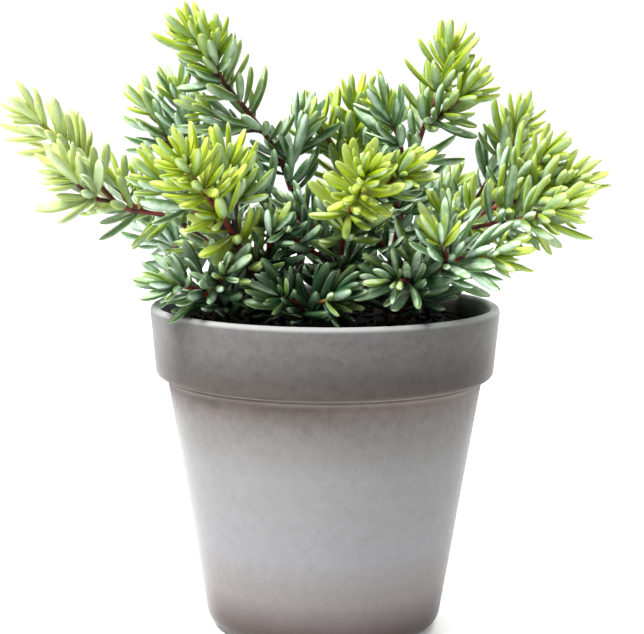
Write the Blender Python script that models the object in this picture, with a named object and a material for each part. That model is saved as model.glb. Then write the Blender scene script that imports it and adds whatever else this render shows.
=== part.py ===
"""A potted sedum: a flared flower pot with a wide band round its rim, the potting soil inside it, and
branching leafy stems that stand in the soil. Metres, +Z up, origin at the middle of the pot's flat base."""

import math
import random
from typing import NamedTuple

import bmesh
import bpy
from mathutils import Quaternion, Vector
from mathutils.bvhtree import BVHTree

MM = 0.001
UP = Vector((0.0, 0.0, 1.0))
GAP = 0.3 * MM

# Pot: heights are above its base, radii are from its axis
POT_HEIGHT = 112.0 * MM
POT_SIDES = 32
RIM_RADIUS = 60.0 * MM
LIP_ROUND = 1.7 * MM
BAND_HEIGHT = 22.0 * MM
BAND_LOW_RADIUS = 58.2 * MM
BAND_ROUND = 2.0 * MM
NECK_RADIUS = 54.2 * MM
BEAD_ROUND = 0.8 * MM
LIP_DEPTH = 3.0 * MM
WALL_DRAFT = 0.6 * MM
SHOULDER = 7.0 * MM
FOOT_RADIUS = 41.0 * MM
FOOT_ROUND = 6.0 * MM
WALL = 4.0 * MM
FLOOR = 5.0 * MM

# Soil
SOIL_SIDES = 16
SOIL_EDGE = POT_HEIGHT - 7.0 * MM
SOIL_CROWN = 2.5 * MM
SOIL_BUMP = 0.7 * MM
SOIL_WAVES = (410.0, 370.0, 690.0)  # radians to the metre, across, along and aslant
SOIL_RINGS = 5
HOLE_DEPTH = 12.0 * MM
HOLE_SIDES = 6

# Stems
STEM_SIDES = 4
STEM_RADIUS = 1.2 * MM
TWIG_RADIUS = 0.9 * MM
TIP_RADIUS = 0.6 * MM
ROUTE_STEP = 10.0 * MM
COLLAR = 2.0 * MM

# Leaves: fleshy fingers, widest past the middle, blunt at the tip, flat above and keeled below
LEAF_LENGTH = 19.5 * MM
LEAF_WIDTH = 4.5 * MM
LEAF_DEPTH = 2.7 * MM
LEAF_RINGS = (0.3, 0.8)
LEAF_SECTION = ((0.5, 0.3), (-0.5, 0.3), (0.0, -0.7))
TAPER = 0.45
BLUNT = 0.55
FULLEST = 0.742
GOLDEN_ANGLE = math.radians(137.5)
# A leaf opens and grows over the first length below its shoot's tip, and spreads further over the second
GROWN_AT = 7.0 * MM
LOW_AT = 40.0 * MM
BUD_SCALE = 0.74
LEAST_SPREAD = math.radians(8.0)
BUD_SPREAD = math.radians(18.0)
ROSETTE_SPREAD = math.radians(48.0)
LOW_SPREAD = math.radians(72.0)
CURL = math.radians(16.0)
BUD_CURL = 0.4
# How far a leaf strays from its rule, either way
TURN_DRIFT = 22.0
SPREAD_DRIFT = 13.0
ROLL_DRIFT = 30.0
# How the leaves crowd to the tip, how far apart their knots are, and how tightly they gather at them
CROWDING = 2.1
KNOT = 12.0 * MM
GATHER = 0.75
CLEARANCE = 0.35 * MM
# What a leaf that would touch another tries in turn: more spread and more turn in degrees, and its size
BENDS = (
    (0, 0, 1.0),
    (-14, 8, 1.0),
    (12, -10, 1.0),
    (-10, -26, 1.0),
    (10, 26, 0.95),
    (-28, 0, 0.95),
    (24, 14, 0.9),
    (-22, 44, 0.9),
    (-22, -44, 0.9),
    (30, -30, 0.85),
    (-38, 20, 0.8),
    (0, 60, 0.8),
)


class Shoot(NamedTuple):
    """A leafy shoot: points on its way in millimetres, its leaves, the length from its tip that they
    cover, and the share of them that is young. A main shoot's first point is where it leaves the soil.
    A side shoot leaves the main one at the share joins of its length."""

    points: tuple
    leaves: int
    leafy: float
    joins: float = 0.0
    young: float = 0.45


STEMS = {
    "stem_far_left": (
        Shoot(
            ((-25, -5), (-34, -8, 128), (-52, -11, 142), (-68, -14, 146), (-80, -16, 159), (-95, -18, 175)),
            24,
            104,
            young=0.7,
        ),
        Shoot(((-77, -25, 150), (-84, -27, 158)), 11, 16, joins=0.66, young=0.7),
        Shoot(((-66, -11, 147), (-69, -10, 153)), 6, 10, joins=0.52, young=0.6),
    ),
    "stem_top_left": (
        Shoot(((-10, 4), (-9, 5, 137), (-15, 8, 159), (-22, 6, 171), (-33, 4, 185), (-45, 0, 202)), 24, 104),
        Shoot(((-31, 9, 171), (-40, 11, 177)), 8, 14, joins=0.66, young=0.5),
        Shoot(((-18, 1, 146), (-26, -2, 155)), 9, 14, joins=0.42, young=0.15),
        Shoot(((-11, 10, 162), (-8, 10, 172)), 8, 14, joins=0.48, young=0.1),
        Shoot(((-36, 0, 189), (-38, -2, 199)), 9, 12, joins=0.82, young=0.6),
    ),
    "stem_left_back": (
        Shoot(((-26, 16), (-36, 25, 132), (-52, 35, 158), (-63, 38, 177)), 17, 52, young=0.3),
        Shoot(((-51, 33, 168), (-54, 33, 183)), 12, 22, joins=0.6, young=0.2),
        Shoot(((-38, 20, 143), (-43, 18, 151)), 8, 14, joins=0.4, young=0.1),
    ),
    "stem_front_left": (
        Shoot(((-14, -20), (-24, -29, 126), (-31, -37, 141), (-44, -52, 162)), 24, 58, young=0.8),
        Shoot(((-29, -34, 150), (-32, -36, 161)), 13, 18, joins=0.6, young=0.7),
        Shoot(((-43, -36, 147), (-53, -37, 156)), 10, 16, joins=0.62, young=0.5),
        Shoot(((-19, -31, 131), (-17, -36, 140)), 8, 12, joins=0.4, young=0.1),
    ),
    "stem_middle_back": (
        Shoot(((4, 18), (7, 24, 140), (9, 28, 160), (10, 28, 178)), 23, 48, young=0.9),
        Shoot(((3, 25, 163), (-3, 23, 173)), 8, 12, joins=0.6, young=0.75),
        Shoot(((17, 25, 163), (20, 23, 173)), 8, 12, joins=0.6, young=0.75),
    ),
    "stem_middle_front": (
        Shoot(((7, -12), (5, -20, 128), (7, -30, 143), (12, -54, 159)), 23, 58, young=0.7),
        Shoot(((16, -34, 152), (24, -42, 159)), 11, 16, joins=0.58, young=0.55),
        Shoot(((-1, -20, 136), (-8, -18, 145)), 9, 14, joins=0.4, young=0.0),
        Shoot(((-8, -27, 135), (-14, -34, 141)), 9, 16, joins=0.36, young=0.0),
    ),
    "stem_top_right": (
        Shoot(((21, 6), (27, 5, 147), (33, 0, 172), (37, -2, 182), (41, -3, 196)), 24, 84),
        Shoot(((40, -7, 178), (46, -10, 184)), 12, 16, joins=0.76, young=0.7),
        Shoot(((24, -4, 145), (24, -9, 154)), 8, 14, joins=0.42, young=0.15),
        Shoot(((20, -3, 131), (16, -9, 138)), 8, 12, joins=0.3, young=0.0),
        Shoot(((25, -2, 167), (20, -3, 178)), 8, 14, joins=0.54, young=0.2),
    ),
    "stem_right": (
        Shoot(((36, 12), (46, 15, 135), (56, 17, 152), (64, 18, 163), (67, 18, 173)), 17, 26, young=0.6),
        Shoot(((44, 9, 134), (42, 5, 141)), 8, 14, joins=0.36, young=0.1),
    ),
    "stem_far_right": (
        Shoot(((27, -8), (38, -10, 132), (51, -15, 144), (66, -22, 150), (79, -27, 155)), 23, 60, young=0.8),
        Shoot(((65, -18, 157), (71, -22, 163)), 12, 18, joins=0.62, young=0.7),
        Shoot(((64, -32, 144), (74, -38, 148)), 13, 22, joins=0.5, young=0.6),
        Shoot(((42, -18, 137), (40, -24, 143)), 8, 12, joins=0.36, young=0.3),
    ),
    "stem_low_right": (
        Shoot(((24, -25), (31, -30, 124), (41, -37, 131), (54, -40, 133)), 15, 40, young=0.25),
        Shoot(((27, -41, 124), (21, -48, 126)), 9, 16, joins=0.35, young=0.0),
        Shoot(((38, -43, 131), (36, -47, 138)), 8, 12, joins=0.56, young=0.3),
    ),
    "stem_low_left": (
        Shoot(((-32, -22), (-39, -31, 119), (-49, -39, 123)), 12, 28, young=0.0),
        Shoot(((-35, -35, 121), (-32, -43, 127)), 8, 14, joins=0.5, young=0.0),
    ),
    "stem_low_front": (
        Shoot(((-6, -32), (-4, -38, 116), (2, -43, 119)), 10, 16, young=0.0),
        Shoot(((-9, -41, 117), (-14, -45, 120)), 7, 10, joins=0.45, young=0.0),
    ),
    "stem_back_left": (
        Shoot(((-16, 32), (-26, 44, 130), (-38, 57, 146), (-44, 63, 156)), 15, 50),
        Shoot(((-40, 50, 132), (-51, 52, 136)), 10, 22, joins=0.4, young=0.2),
    ),
    "stem_back": (
        Shoot(((4, 36), (5, 50, 130), (6, 63, 143), (8, 71, 152)), 15, 46),
        Shoot(((18, 60, 134), (26, 67, 138)), 10, 22, joins=0.45, young=0.2),
    ),
    "stem_back_right": (
        Shoot(((24, 28), (34, 40, 130), (43, 52, 142), (48, 58, 149)), 15, 46),
        Shoot(((50, 40, 132), (61, 40, 137)), 11, 24, joins=0.4, young=0.2),
    ),
    "stem_left": (
        Shoot(((-38, 2), (-47, 12, 124), (-58, 22, 134), (-63, 26, 139)), 15, 38, young=0.1),
    ),
}


class Site(NamedTuple):
    """A place on a shoot's axis: how far it is below the tip, its point, and the directions along the
    shoot and square to it."""

    below: float
    point: Vector
    along: Vector
    square: Vector


class Leaf(NamedTuple):
    """A leaf's root on the shoot's axis, the way it grows, its size and whether it is young."""

    root: Vector
    along: Vector
    outward: Vector
    spread: float
    curl: float
    roll: float
    size: float
    young: bool


class Shape(NamedTuple):
    """A closed mesh: its points, and its faces as tuples of point numbers."""

    points: list
    faces: list


def clear_scene():
    for obj in list(bpy.data.objects):
        bpy.data.objects.remove(obj, do_unlink=True)


def material(name, colour, roughness):
    made = bpy.data.materials.new(name)
    made.use_nodes = True
    shader = made.node_tree.nodes["Principled BSDF"]
    shader.inputs["Base Color"].default_value = (*colour, 1.0)
    shader.inputs["Roughness"].default_value = roughness
    shader.inputs["Metallic"].default_value = 0.0
    made.diffuse_color = (*colour, 1.0)
    return made


def add_object(name, shape, materials, collection=None):
    mesh = bpy.data.meshes.new(name)
    mesh.from_pydata([tuple(point) for point in shape.points], [], shape.faces)
    for each in materials:
        mesh.materials.append(each)
    obj = bpy.data.objects.new(name, mesh)
    (collection or bpy.context.scene.collection).objects.link(obj)
    return obj


def shade(obj, angle):
    obj.data.shade_smooth()
    obj.data.set_sharp_from_angle(angle=math.radians(angle))


def arc(radius_at, height_at, radius, start, end, steps):
    """Profile points on a round corner, from one angle to another in degrees."""
    turns = [math.radians(start + (end - start) * i / steps) for i in range(steps + 1)]
    return [(radius_at + radius * math.cos(turn), height_at + radius * math.sin(turn)) for turn in turns]


def turned(profile, sides):
    """The solid that a profile makes when it turns round Z, from its point on the axis back to the axis."""
    points = [Vector((0.0, 0.0, profile[0][1]))]
    for radius, height in profile[1:-1]:
        for i in range(sides):
            turn = math.tau * i / sides
            points.append(Vector((radius * math.cos(turn), radius * math.sin(turn), height)))
    points.append(Vector((0.0, 0.0, profile[-1][1])))
    last = len(points) - 1
    faces = []
    for i in range(sides):
        j = (i + 1) % sides
        faces.append((0, 1 + j, 1 + i))
        for ring in range(len(profile) - 3):
            low, high = 1 + ring * sides, 1 + (ring + 1) * sides
            faces.append((low + i, low + j, high + j, high + i))
        top = last - sides
        faces.append((top + i, top + j, last))
    return Shape(points, faces)


def inner_wall():
    """The pot's inside, from the lip down to its floor's edge."""
    return [
        (RIM_RADIUS - 2 * LIP_ROUND - WALL_DRAFT, POT_HEIGHT - LIP_DEPTH),
        (NECK_RADIUS - WALL_DRAFT, POT_HEIGHT - BAND_HEIGHT),
        (NECK_RADIUS - WALL, POT_HEIGHT - BAND_HEIGHT - SHOULDER),
        (FOOT_RADIUS - WALL, FLOOR),
    ]


def make_pot(clay):
    band_low = POT_HEIGHT - BAND_HEIGHT
    neck = band_low - BAND_ROUND
    profile = [(0.0, 0.0)]
    profile += arc(FOOT_RADIUS - FOOT_ROUND, FOOT_ROUND, FOOT_ROUND, -90, -8, 3)
    profile += arc(NECK_RADIUS, neck - BEAD_ROUND, BEAD_ROUND, -90, 90, 2)
    profile += arc(BAND_LOW_RADIUS - BAND_ROUND, band_low, BAND_ROUND, -90, 0, 2)
    profile += arc(RIM_RADIUS - LIP_ROUND, POT_HEIGHT - LIP_ROUND, LIP_ROUND, 0, 180, 4)
    profile += inner_wall()
    profile += [(0.0, FLOOR)]
    pot = add_object("pot", turned(profile, POT_SIDES), [clay])
    shade(pot, 40)
    return pot


def soil_height(x, y):
    """Height of the soil's crowned, uneven surface."""
    share = min(1.0, math.hypot(x, y) / (NECK_RADIUS - WALL))
    across, along, aslant = SOIL_WAVES
    waves = math.sin(x * across) * math.cos(y * along) + math.sin((x - y) * aslant)
    return SOIL_EDGE + (SOIL_CROWN + SOIL_BUMP * waves) * (1.0 - share * share)


def wall_radius(height):
    """The inside radius of the pot at a height, less the gap that the soil keeps."""
    wall = inner_wall()
    for (top_radius, top), (low_radius, low) in zip(wall, wall[1:]):
        if height >= low:
            return low_radius + (top_radius - low_radius) * (height - low) / (top - low) - GAP
    return wall[-1][0] - GAP


def make_soil(earth):
    heights = [FLOOR + GAP, POT_HEIGHT - BAND_HEIGHT - SHOULDER, POT_HEIGHT - BAND_HEIGHT, SOIL_EDGE]
    profile = [(0.0, heights[0])] + [(wall_radius(height), height) for height in heights]
    edge = profile[-1][0]
    profile += [(edge * ring / SOIL_RINGS, SOIL_EDGE) for ring in range(SOIL_RINGS - 1, 0, -1)]
    profile += [(0.0, SOIL_EDGE)]
    shape = turned(profile, SOIL_SIDES)
    for point in shape.points:
        if point.z == SOIL_EDGE:
            point.z = soil_height(point.x, point.y)
    soil = add_object("soil", shape, [earth])
    cut_holes(soil)
    shade(soil, 30)
    return soil


def apply_modifiers(obj):
    """Gives the object its evaluated mesh and drops its modifiers."""
    graph = bpy.context.evaluated_depsgraph_get()
    mesh = bpy.data.meshes.new_from_object(obj.evaluated_get(graph))
    obj.modifiers.clear()
    obj.data = mesh


def drop_collection(collection):
    for obj in list(collection.objects):
        bpy.data.objects.remove(obj, do_unlink=True)
    bpy.data.collections.remove(collection)


def new_collection(name):
    collection = bpy.data.collections.new(name)
    bpy.context.scene.collection.children.link(collection)
    return collection


def cut_holes(soil):
    """One plain upright hole for each stem."""
    cutters = new_collection("stem holes")
    radius = (STEM_RADIUS + GAP) / math.cos(math.pi / HOLE_SIDES)
    for name, shoots in STEMS.items():
        foot = stem_foot(shoots[0])
        profile = [(0.0, foot.z - GAP), (radius, foot.z - GAP), (radius, POT_HEIGHT), (0.0, POT_HEIGHT)]
        hole = turned(profile, HOLE_SIDES)
        moved = [point + Vector((foot.x, foot.y, 0.0)) for point in hole.points]
        add_object("hole of " + name, Shape(moved, hole.faces), [], cutters)
    cut = soil.modifiers.new("holes", "BOOLEAN")
    cut.operation = "DIFFERENCE"
    cut.operand_type = "COLLECTION"
    cut.collection = cutters
    cut.solver = "EXACT"
    apply_modifiers(soil)
    drop_collection(cutters)


def stem_foot(shoot):
    """The lowest point of a main shoot, at the bottom of its hole."""
    x, y = (axis * MM for axis in shoot.points[0])
    return Vector((x, y, soil_height(x, y) - HOLE_DEPTH))


def smooth_route(points, leaving):
    """Points about ROUTE_STEP apart on a smooth curve through the given ones."""
    last = len(points) - 1
    slopes = [leaving * (points[1] - points[0]).length]
    slopes += [(points[i + 1] - points[i - 1]) / 2 for i in range(1, last)]
    slopes += [points[last] - points[last - 1]]
    route = [points[0]]
    for i in range(last):
        start, end = points[i], points[i + 1]
        pieces = max(1, round((end - start).length / ROUTE_STEP))
        for piece in range(1, pieces + 1):
            t = piece / pieces
            rise = t * t * (3 - 2 * t)
            bow = slopes[i] * (t * (1 - t) ** 2) - slopes[i + 1] * (t * t * (1 - t))
            route.append(start.lerp(end, rise) + bow)
    return route


def main_route(shoot):
    foot = stem_foot(shoot)
    collar = foot + UP * (HOLE_DEPTH + COLLAR)
    points = [collar] + [Vector(point) * MM for point in shoot.points[1:]]
    return [foot] + smooth_route(points, UP)


def side_route(shoot, parent):
    start, away, _ = point_at(parent, route_length(parent) * shoot.joins)
    points = [start] + [Vector(point) * MM for point in shoot.points]
    leaving = (away + (points[1] - start).normalized()).normalized()
    return smooth_route(points, leaving)


def route_length(route):
    return sum((b - a).length for a, b in zip(route, route[1:]))


def point_at(route, distance):
    """The point at a distance along a route, the direction there, and the number of its stretch."""
    last = len(route) - 2
    for number, (a, b) in enumerate(zip(route, route[1:])):
        length = (b - a).length
        if distance <= length or number == last:
            return a.lerp(b, min(1.0, distance / length)), (b - a).normalized(), number
        distance -= length


def squares_along(route):
    """A direction square to the route at each of its points, that turns as little as it can."""
    aheads = [(b - a).normalized() for a, b in zip(route, route[1:])]
    aheads = [aheads[0]] + [(a + b).normalized() for a, b in zip(aheads, aheads[1:])] + [aheads[-1]]
    square = aheads[0].orthogonal().normalized()
    found = []
    for ahead in aheads:
        square = (square - ahead * square.dot(ahead)).normalized()
        found.append((ahead, square))
    return found


def tube(route, thick):
    """A stem that tapers from its thick, flat foot to a pointed tip."""
    points, faces = [], []
    for i, (point, (ahead, square)) in enumerate(zip(route[:-1], squares_along(route))):
        radius = thick + (TIP_RADIUS - thick) * i / (len(route) - 2)
        across = ahead.cross(square)
        for side in range(STEM_SIDES):
            turn = math.tau * side / STEM_SIDES
            points.append(point + (square * math.cos(turn) + across * math.sin(turn)) * radius)
    tip = len(points)
    points.append(route[-1])
    for ring in range(len(route) - 2):
        low, high = ring * STEM_SIDES, (ring + 1) * STEM_SIDES
        for i in range(STEM_SIDES):
            j = (i + 1) % STEM_SIDES
            faces.append((low + i, low + j, high + j, high + i))
    faces.append(tuple(reversed(range(STEM_SIDES))))
    end = tip - STEM_SIDES
    faces += [(end + i, end + (i + 1) % STEM_SIDES, tip) for i in range(STEM_SIDES)]
    return Shape(points, faces)


def fullness(share):
    """A leaf's width at a share of its length, against its widest."""
    return share**TAPER * (1 - share**4) ** BLUNT / FULLEST


def leaf_point(leaf, share):
    """The middle of a leaf at a share of its length, and its direction and upper normal there."""
    length = LEAF_LENGTH * leaf.size
    angle = leaf.spread - leaf.curl * share
    forth = (math.sin(leaf.spread) - math.sin(angle)) / leaf.curl
    out = (math.cos(angle) - math.cos(leaf.spread)) / leaf.curl
    middle = leaf.root + (leaf.along * forth + leaf.outward * out) * length
    normal = leaf.along * math.sin(angle) - leaf.outward * math.cos(angle)
    ahead = leaf.along * math.cos(angle) + leaf.outward * math.sin(angle)
    return middle, ahead, normal


def blade(leaf, swell=0.0):
    """A leaf's closed mesh, thicker and longer by swell where it stands for the space it needs."""
    points = [leaf.root]
    for share in LEAF_RINGS:
        middle, ahead, normal = leaf_point(leaf, share)
        turn = Quaternion(ahead, leaf.roll)
        normal = turn @ normal
        side = normal.cross(ahead)
        width = LEAF_WIDTH * leaf.size * fullness(share) + 2 * swell
        depth = LEAF_DEPTH * leaf.size * fullness(share) + 2 * swell
        for across, high in LEAF_SECTION:
            points.append(middle + side * (across * width) + normal * (high * depth))
    tip, ahead, _ = leaf_point(leaf, 1.0)
    points.append(tip + ahead * swell)
    sides, last = len(LEAF_SECTION), len(points) - 1
    faces = []
    for i in range(sides):
        j = (i + 1) % sides
        faces.append((0, 1 + j, 1 + i))
        for ring in range(len(LEAF_RINGS) - 1):
            low, high = 1 + ring * sides, 1 + (ring + 1) * sides
            faces.append((low + i, low + j, high + j, high + i))
        faces.append((last - sides + i, last - sides + j, last))
    return Shape(points, faces)


def new_leaf(site, draw, rank, shoot):
    """The leaf of a rank counted from the shoot's tip, as it would grow with nothing in its way."""
    grown = min(1.0, site.below / GROWN_AT)
    low = min(1.0, max(0.0, site.below - GROWN_AT) / LOW_AT)
    spread = BUD_SPREAD + (ROSETTE_SPREAD - BUD_SPREAD) * grown + (LOW_SPREAD - ROSETTE_SPREAD) * low
    azimuth = GOLDEN_ANGLE * rank + math.radians(draw.uniform(-TURN_DRIFT, TURN_DRIFT))
    outward = Quaternion(site.along, azimuth) @ site.square
    return Leaf(
        root=site.point,
        along=site.along,
        outward=outward,
        spread=spread + math.radians(draw.uniform(-SPREAD_DRIFT, SPREAD_DRIFT)),
        curl=CURL * draw.uniform(0.35, 1.5) * (BUD_CURL + (1 - BUD_CURL) * grown),
        roll=math.radians(draw.uniform(-ROLL_DRIFT, ROLL_DRIFT)),
        size=(BUD_SCALE + (1 - BUD_SCALE) * grown) * draw.uniform(0.78, 1.06),
        young=rank / (shoot.leaves - 1) < shoot.young,
    )


def bent(leaf, bend):
    spread, turn, size = bend
    return leaf._replace(
        spread=max(LEAST_SPREAD, leaf.spread + math.radians(spread)),
        outward=Quaternion(leaf.along, math.radians(turn)) @ leaf.outward,
        size=leaf.size * size,
    )


class Body(NamedTuple):
    """A piece in place: its node, its faces, those past its sunk root, and the sphere that holds it."""

    node: str
    whole: BVHTree
    free: BVHTree
    middle: Vector
    reach: float


def body_of(node, shape, free=None):
    low = Vector([min(point[axis] for point in shape.points) for axis in range(3)])
    high = Vector([max(point[axis] for point in shape.points) for axis in range(3)])
    whole = BVHTree.FromPolygons(shape.points, shape.faces)
    past_root = BVHTree.FromPolygons(shape.points, free) if free else whole
    return Body(node, whole, past_root, (low + high) / 2, (high - low).length / 2)


def leaf_body(node, leaf, swell=0.0):
    shape = blade(leaf, swell)
    return body_of(node, shape, [face for face in shape.faces if 0 not in face])


def is_clear(leaf, node, placed):
    """Whether a leaf keeps its clearance to other nodes, and its free part misses its own node."""
    room, own = leaf_body(node, leaf, CLEARANCE), leaf_body(node, leaf)
    for other in placed:
        if (room.middle - other.middle).length > room.reach + other.reach:
            continue
        if own.free.overlap(other.free) if other.node == node else room.whole.overlap(other.whole):
            return False
    return True


def mesh_shape(obj):
    points = [vertex.co.copy() for vertex in obj.data.vertices]
    return Shape(points, [tuple(face.vertices) for face in obj.data.polygons])


def shoot_sites(route, shoot):
    """The leaves' places on a shoot from its tip down, close together at the tip, then gathered at knots."""
    whole = route_length(route)
    leafy = min(shoot.leafy * MM, whole - 2 * TIP_RADIUS)
    squares = squares_along(route)
    sites = []
    for rank in range(shoot.leaves):
        even = leafy * (rank / (shoot.leaves - 1)) ** CROWDING
        below = even - GATHER * KNOT / math.tau * math.sin(math.tau * even / KNOT)
        point, along, number = point_at(route, whole - TIP_RADIUS - below)
        square = squares[number][1]
        sites.append(Site(below, point, along, (square - along * square.dot(along)).normalized()))
    return sites


def grow_leaves(routes, pot, soil):
    """Every node's leaves. All the shoots' tips are placed first, and the lowest leaves last."""
    placed = [body_of("pot", mesh_shape(pot)), body_of("soil", mesh_shape(soil))]
    grown = {node: [] for node in routes}
    growing = []
    for node, shoots in routes.items():
        for i, (route, thick, shoot) in enumerate(shoots):
            placed.append(body_of(node, tube(route, thick)))
            growing.append((node, shoot, shoot_sites(route, shoot), random.Random(f"{node} {i}")))
    for rank in range(max(shoot.leaves for node, shoot, sites, draw in growing)):
        for node, shoot, sites, draw in growing:
            if rank >= shoot.leaves:
                continue
            free = new_leaf(sites[rank], draw, rank, shoot)
            tries = (bent(free, bend) for bend in BENDS)
            leaf = next((tried for tried in tries if is_clear(tried, node, placed)), None)
            if leaf:
                grown[node].append(leaf)
                placed.append(leaf_body(node, leaf))
    return grown


def fuse(node, shapes, wood, young, old):
    """One closed mesh from a stem's shoots and leaves, given as shapes with their material slots."""
    slots = [wood, young, old]
    parts = new_collection("parts of " + node)
    stem = add_object(node, shapes[0][0], slots)
    for shape, slot in shapes[1:]:
        part = add_object("part of " + node, shape, slots, parts)
        for face in part.data.polygons:
            face.material_index = slot
    join = stem.modifiers.new("leaves", "BOOLEAN")
    join.operation = "UNION"
    join.operand_type = "COLLECTION"
    join.collection = parts
    join.solver = "MANIFOLD"
    apply_modifiers(stem)
    drop_collection(parts)
    keep_largest_piece(stem)
    shade(stem, 50)
    return stem


def keep_largest_piece(obj):
    """Drops loose scraps, and the skins of hollows that the fusing sealed."""
    shape = bmesh.new()
    shape.from_mesh(obj.data)
    left = set(shape.verts)
    pieces = []
    while left:
        piece, edge = set(), [left.pop()]
        while edge:
            vertex = edge.pop()
            piece.add(vertex)
            for link in vertex.link_edges:
                other = link.other_vert(vertex)
                if other in left:
                    left.remove(other)
                    edge.append(other)
        pieces.append(piece)
    largest = max(pieces, key=len)
    bmesh.ops.delete(shape, geom=[v for v in shape.verts if v not in largest], context="VERTS")
    shape.to_mesh(obj.data)
    shape.free()


def stem_routes():
    """Each node's shoots as (route, radius at the foot, shoot)."""
    routes = {}
    for node, (first, *sides) in STEMS.items():
        trunk = main_route(first)
        routes[node] = [(trunk, STEM_RADIUS, first)]
        routes[node] += [(side_route(side, trunk), TWIG_RADIUS, side) for side in sides]
    return routes


def main():
    clear_scene()
    clay = material("weathered clay", (0.36, 0.35, 0.34), 0.85)
    earth = material("potting soil", (0.035, 0.026, 0.02), 0.95)
    wood = material("red stem", (0.17, 0.035, 0.03), 0.6)
    young = material("young leaf", (0.42, 0.5, 0.06), 0.5)
    old = material("old leaf", (0.2, 0.33, 0.19), 0.55)
    pot = make_pot(clay)
    soil = make_soil(earth)
    routes = stem_routes()
    leaves = grow_leaves(routes, pot, soil)
    for node, shoots in routes.items():
        shapes = [(tube(route, thick), 0) for route, thick, shoot in shoots]
        shapes += [(blade(leaf), 1 if leaf.young else 2) for leaf in leaves[node]]
        fuse(node, shapes, wood, young, old)


if __name__ == "__main__":
    main()
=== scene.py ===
"""The looks of a potted sedum: two-toned leaves on red stems, crumbly soil and a sprayed grey clay pot.

The stems repeat the growth of their solids, so each fine leaf lies where its plain one does.
Metres, +Z up, origin at the middle of the pot's flat base."""

from __future__ import annotations

import logging
import math
import random
from dataclasses import dataclass, field, replace
from enum import Enum
from functools import cache
from typing import Callable, Iterator

import bpy
from mathutils import Matrix, Quaternion, Vector, noise
from mathutils.bvhtree import BVHTree


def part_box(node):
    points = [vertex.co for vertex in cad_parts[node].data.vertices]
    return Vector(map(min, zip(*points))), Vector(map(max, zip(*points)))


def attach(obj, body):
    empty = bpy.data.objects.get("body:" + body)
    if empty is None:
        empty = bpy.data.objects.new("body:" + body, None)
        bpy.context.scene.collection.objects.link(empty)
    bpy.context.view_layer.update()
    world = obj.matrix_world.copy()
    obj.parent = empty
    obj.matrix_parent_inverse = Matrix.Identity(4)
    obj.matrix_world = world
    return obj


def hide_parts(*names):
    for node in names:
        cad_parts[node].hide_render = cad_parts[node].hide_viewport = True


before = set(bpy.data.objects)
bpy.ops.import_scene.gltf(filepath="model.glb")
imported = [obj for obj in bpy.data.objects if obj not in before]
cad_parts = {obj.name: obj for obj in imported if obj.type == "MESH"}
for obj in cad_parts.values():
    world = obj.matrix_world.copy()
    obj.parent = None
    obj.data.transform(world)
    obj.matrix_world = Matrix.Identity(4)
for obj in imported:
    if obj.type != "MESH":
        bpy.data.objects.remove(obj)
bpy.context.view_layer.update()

MM = 0.001
UP = Vector((0.0, 0.0, 1.0))
BODY = "root"
GROWTH = "growth"
MAP_NAME = "OFBake"
log = logging.getLogger("potted sedum")

Colour = tuple[float, float, float]
Marks = tuple[float, float, float, float]
Profile = list[tuple[float, float]]
Face = tuple[int, ...]
NO_MARKS: Marks = (0.0, 0.0, 0.0, 0.0)


class Slot(Enum):
    """The record's material slots."""

    CLAY = "weathered_clay"
    SOIL = "potting_soil"
    FOLIAGE = "sedum_foliage"


class Skin(Enum):
    """Which of a piece's materials a face wears. The pot and the soil have only the first."""

    WOOD = 0
    LEAF = 1


def held(value: float) -> float:
    """A number held between 0 and 1."""
    return min(1.0, max(0.0, value))


# Shader maths


def operator(operation: str, reflected: bool = False) -> Callable[[Wire, Wire | float], Wire]:
    """The method of Wire for one operator, or for its reflected form.

    Args:
        operation: the Math node that it adds.
        reflected: whether the wire comes second, as in 1 - mask.

    Returns:
        The method.
    """

    def method(wire: Wire, other: Wire | float) -> Wire:
        """The result of the sum."""
        return wire.maths(operation, *((other, wire) if reflected else (wire, other)))

    return method


class Wire:
    """A number that varies over a surface: a shader socket that takes part in sums."""

    def __init__(self, bench: Bench, socket: bpy.types.NodeSocket) -> None:
        """Wraps the output socket of one of a bench's nodes."""
        self.bench = bench
        self.socket = socket

    def maths(self, operation: str, *values: Wire | float) -> Wire:
        """The result of a Math node with this operation and these values, in the order of its sockets."""
        return self.bench.node("ShaderNodeMath", {"operation": operation}, dict(enumerate(values)))

    __add__, __radd__ = operator("ADD"), operator("ADD", reflected=True)
    __sub__, __rsub__ = operator("SUBTRACT"), operator("SUBTRACT", reflected=True)
    __mul__, __rmul__ = operator("MULTIPLY"), operator("MULTIPLY", reflected=True)

    def __abs__(self) -> Wire:
        """Self without its sign."""
        return self.maths("ABSOLUTE", self)

    def between(self, low: float, high: float) -> Wire:
        """A soft step: 0 below low, 1 above high and an S curve between them."""
        settings = {"interpolation_type": "SMOOTHSTEP"}
        return self.bench.node("ShaderNodeMapRange", settings, {0: self, 1: low, 2: high, 3: 0.0, 4: 1.0})


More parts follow.
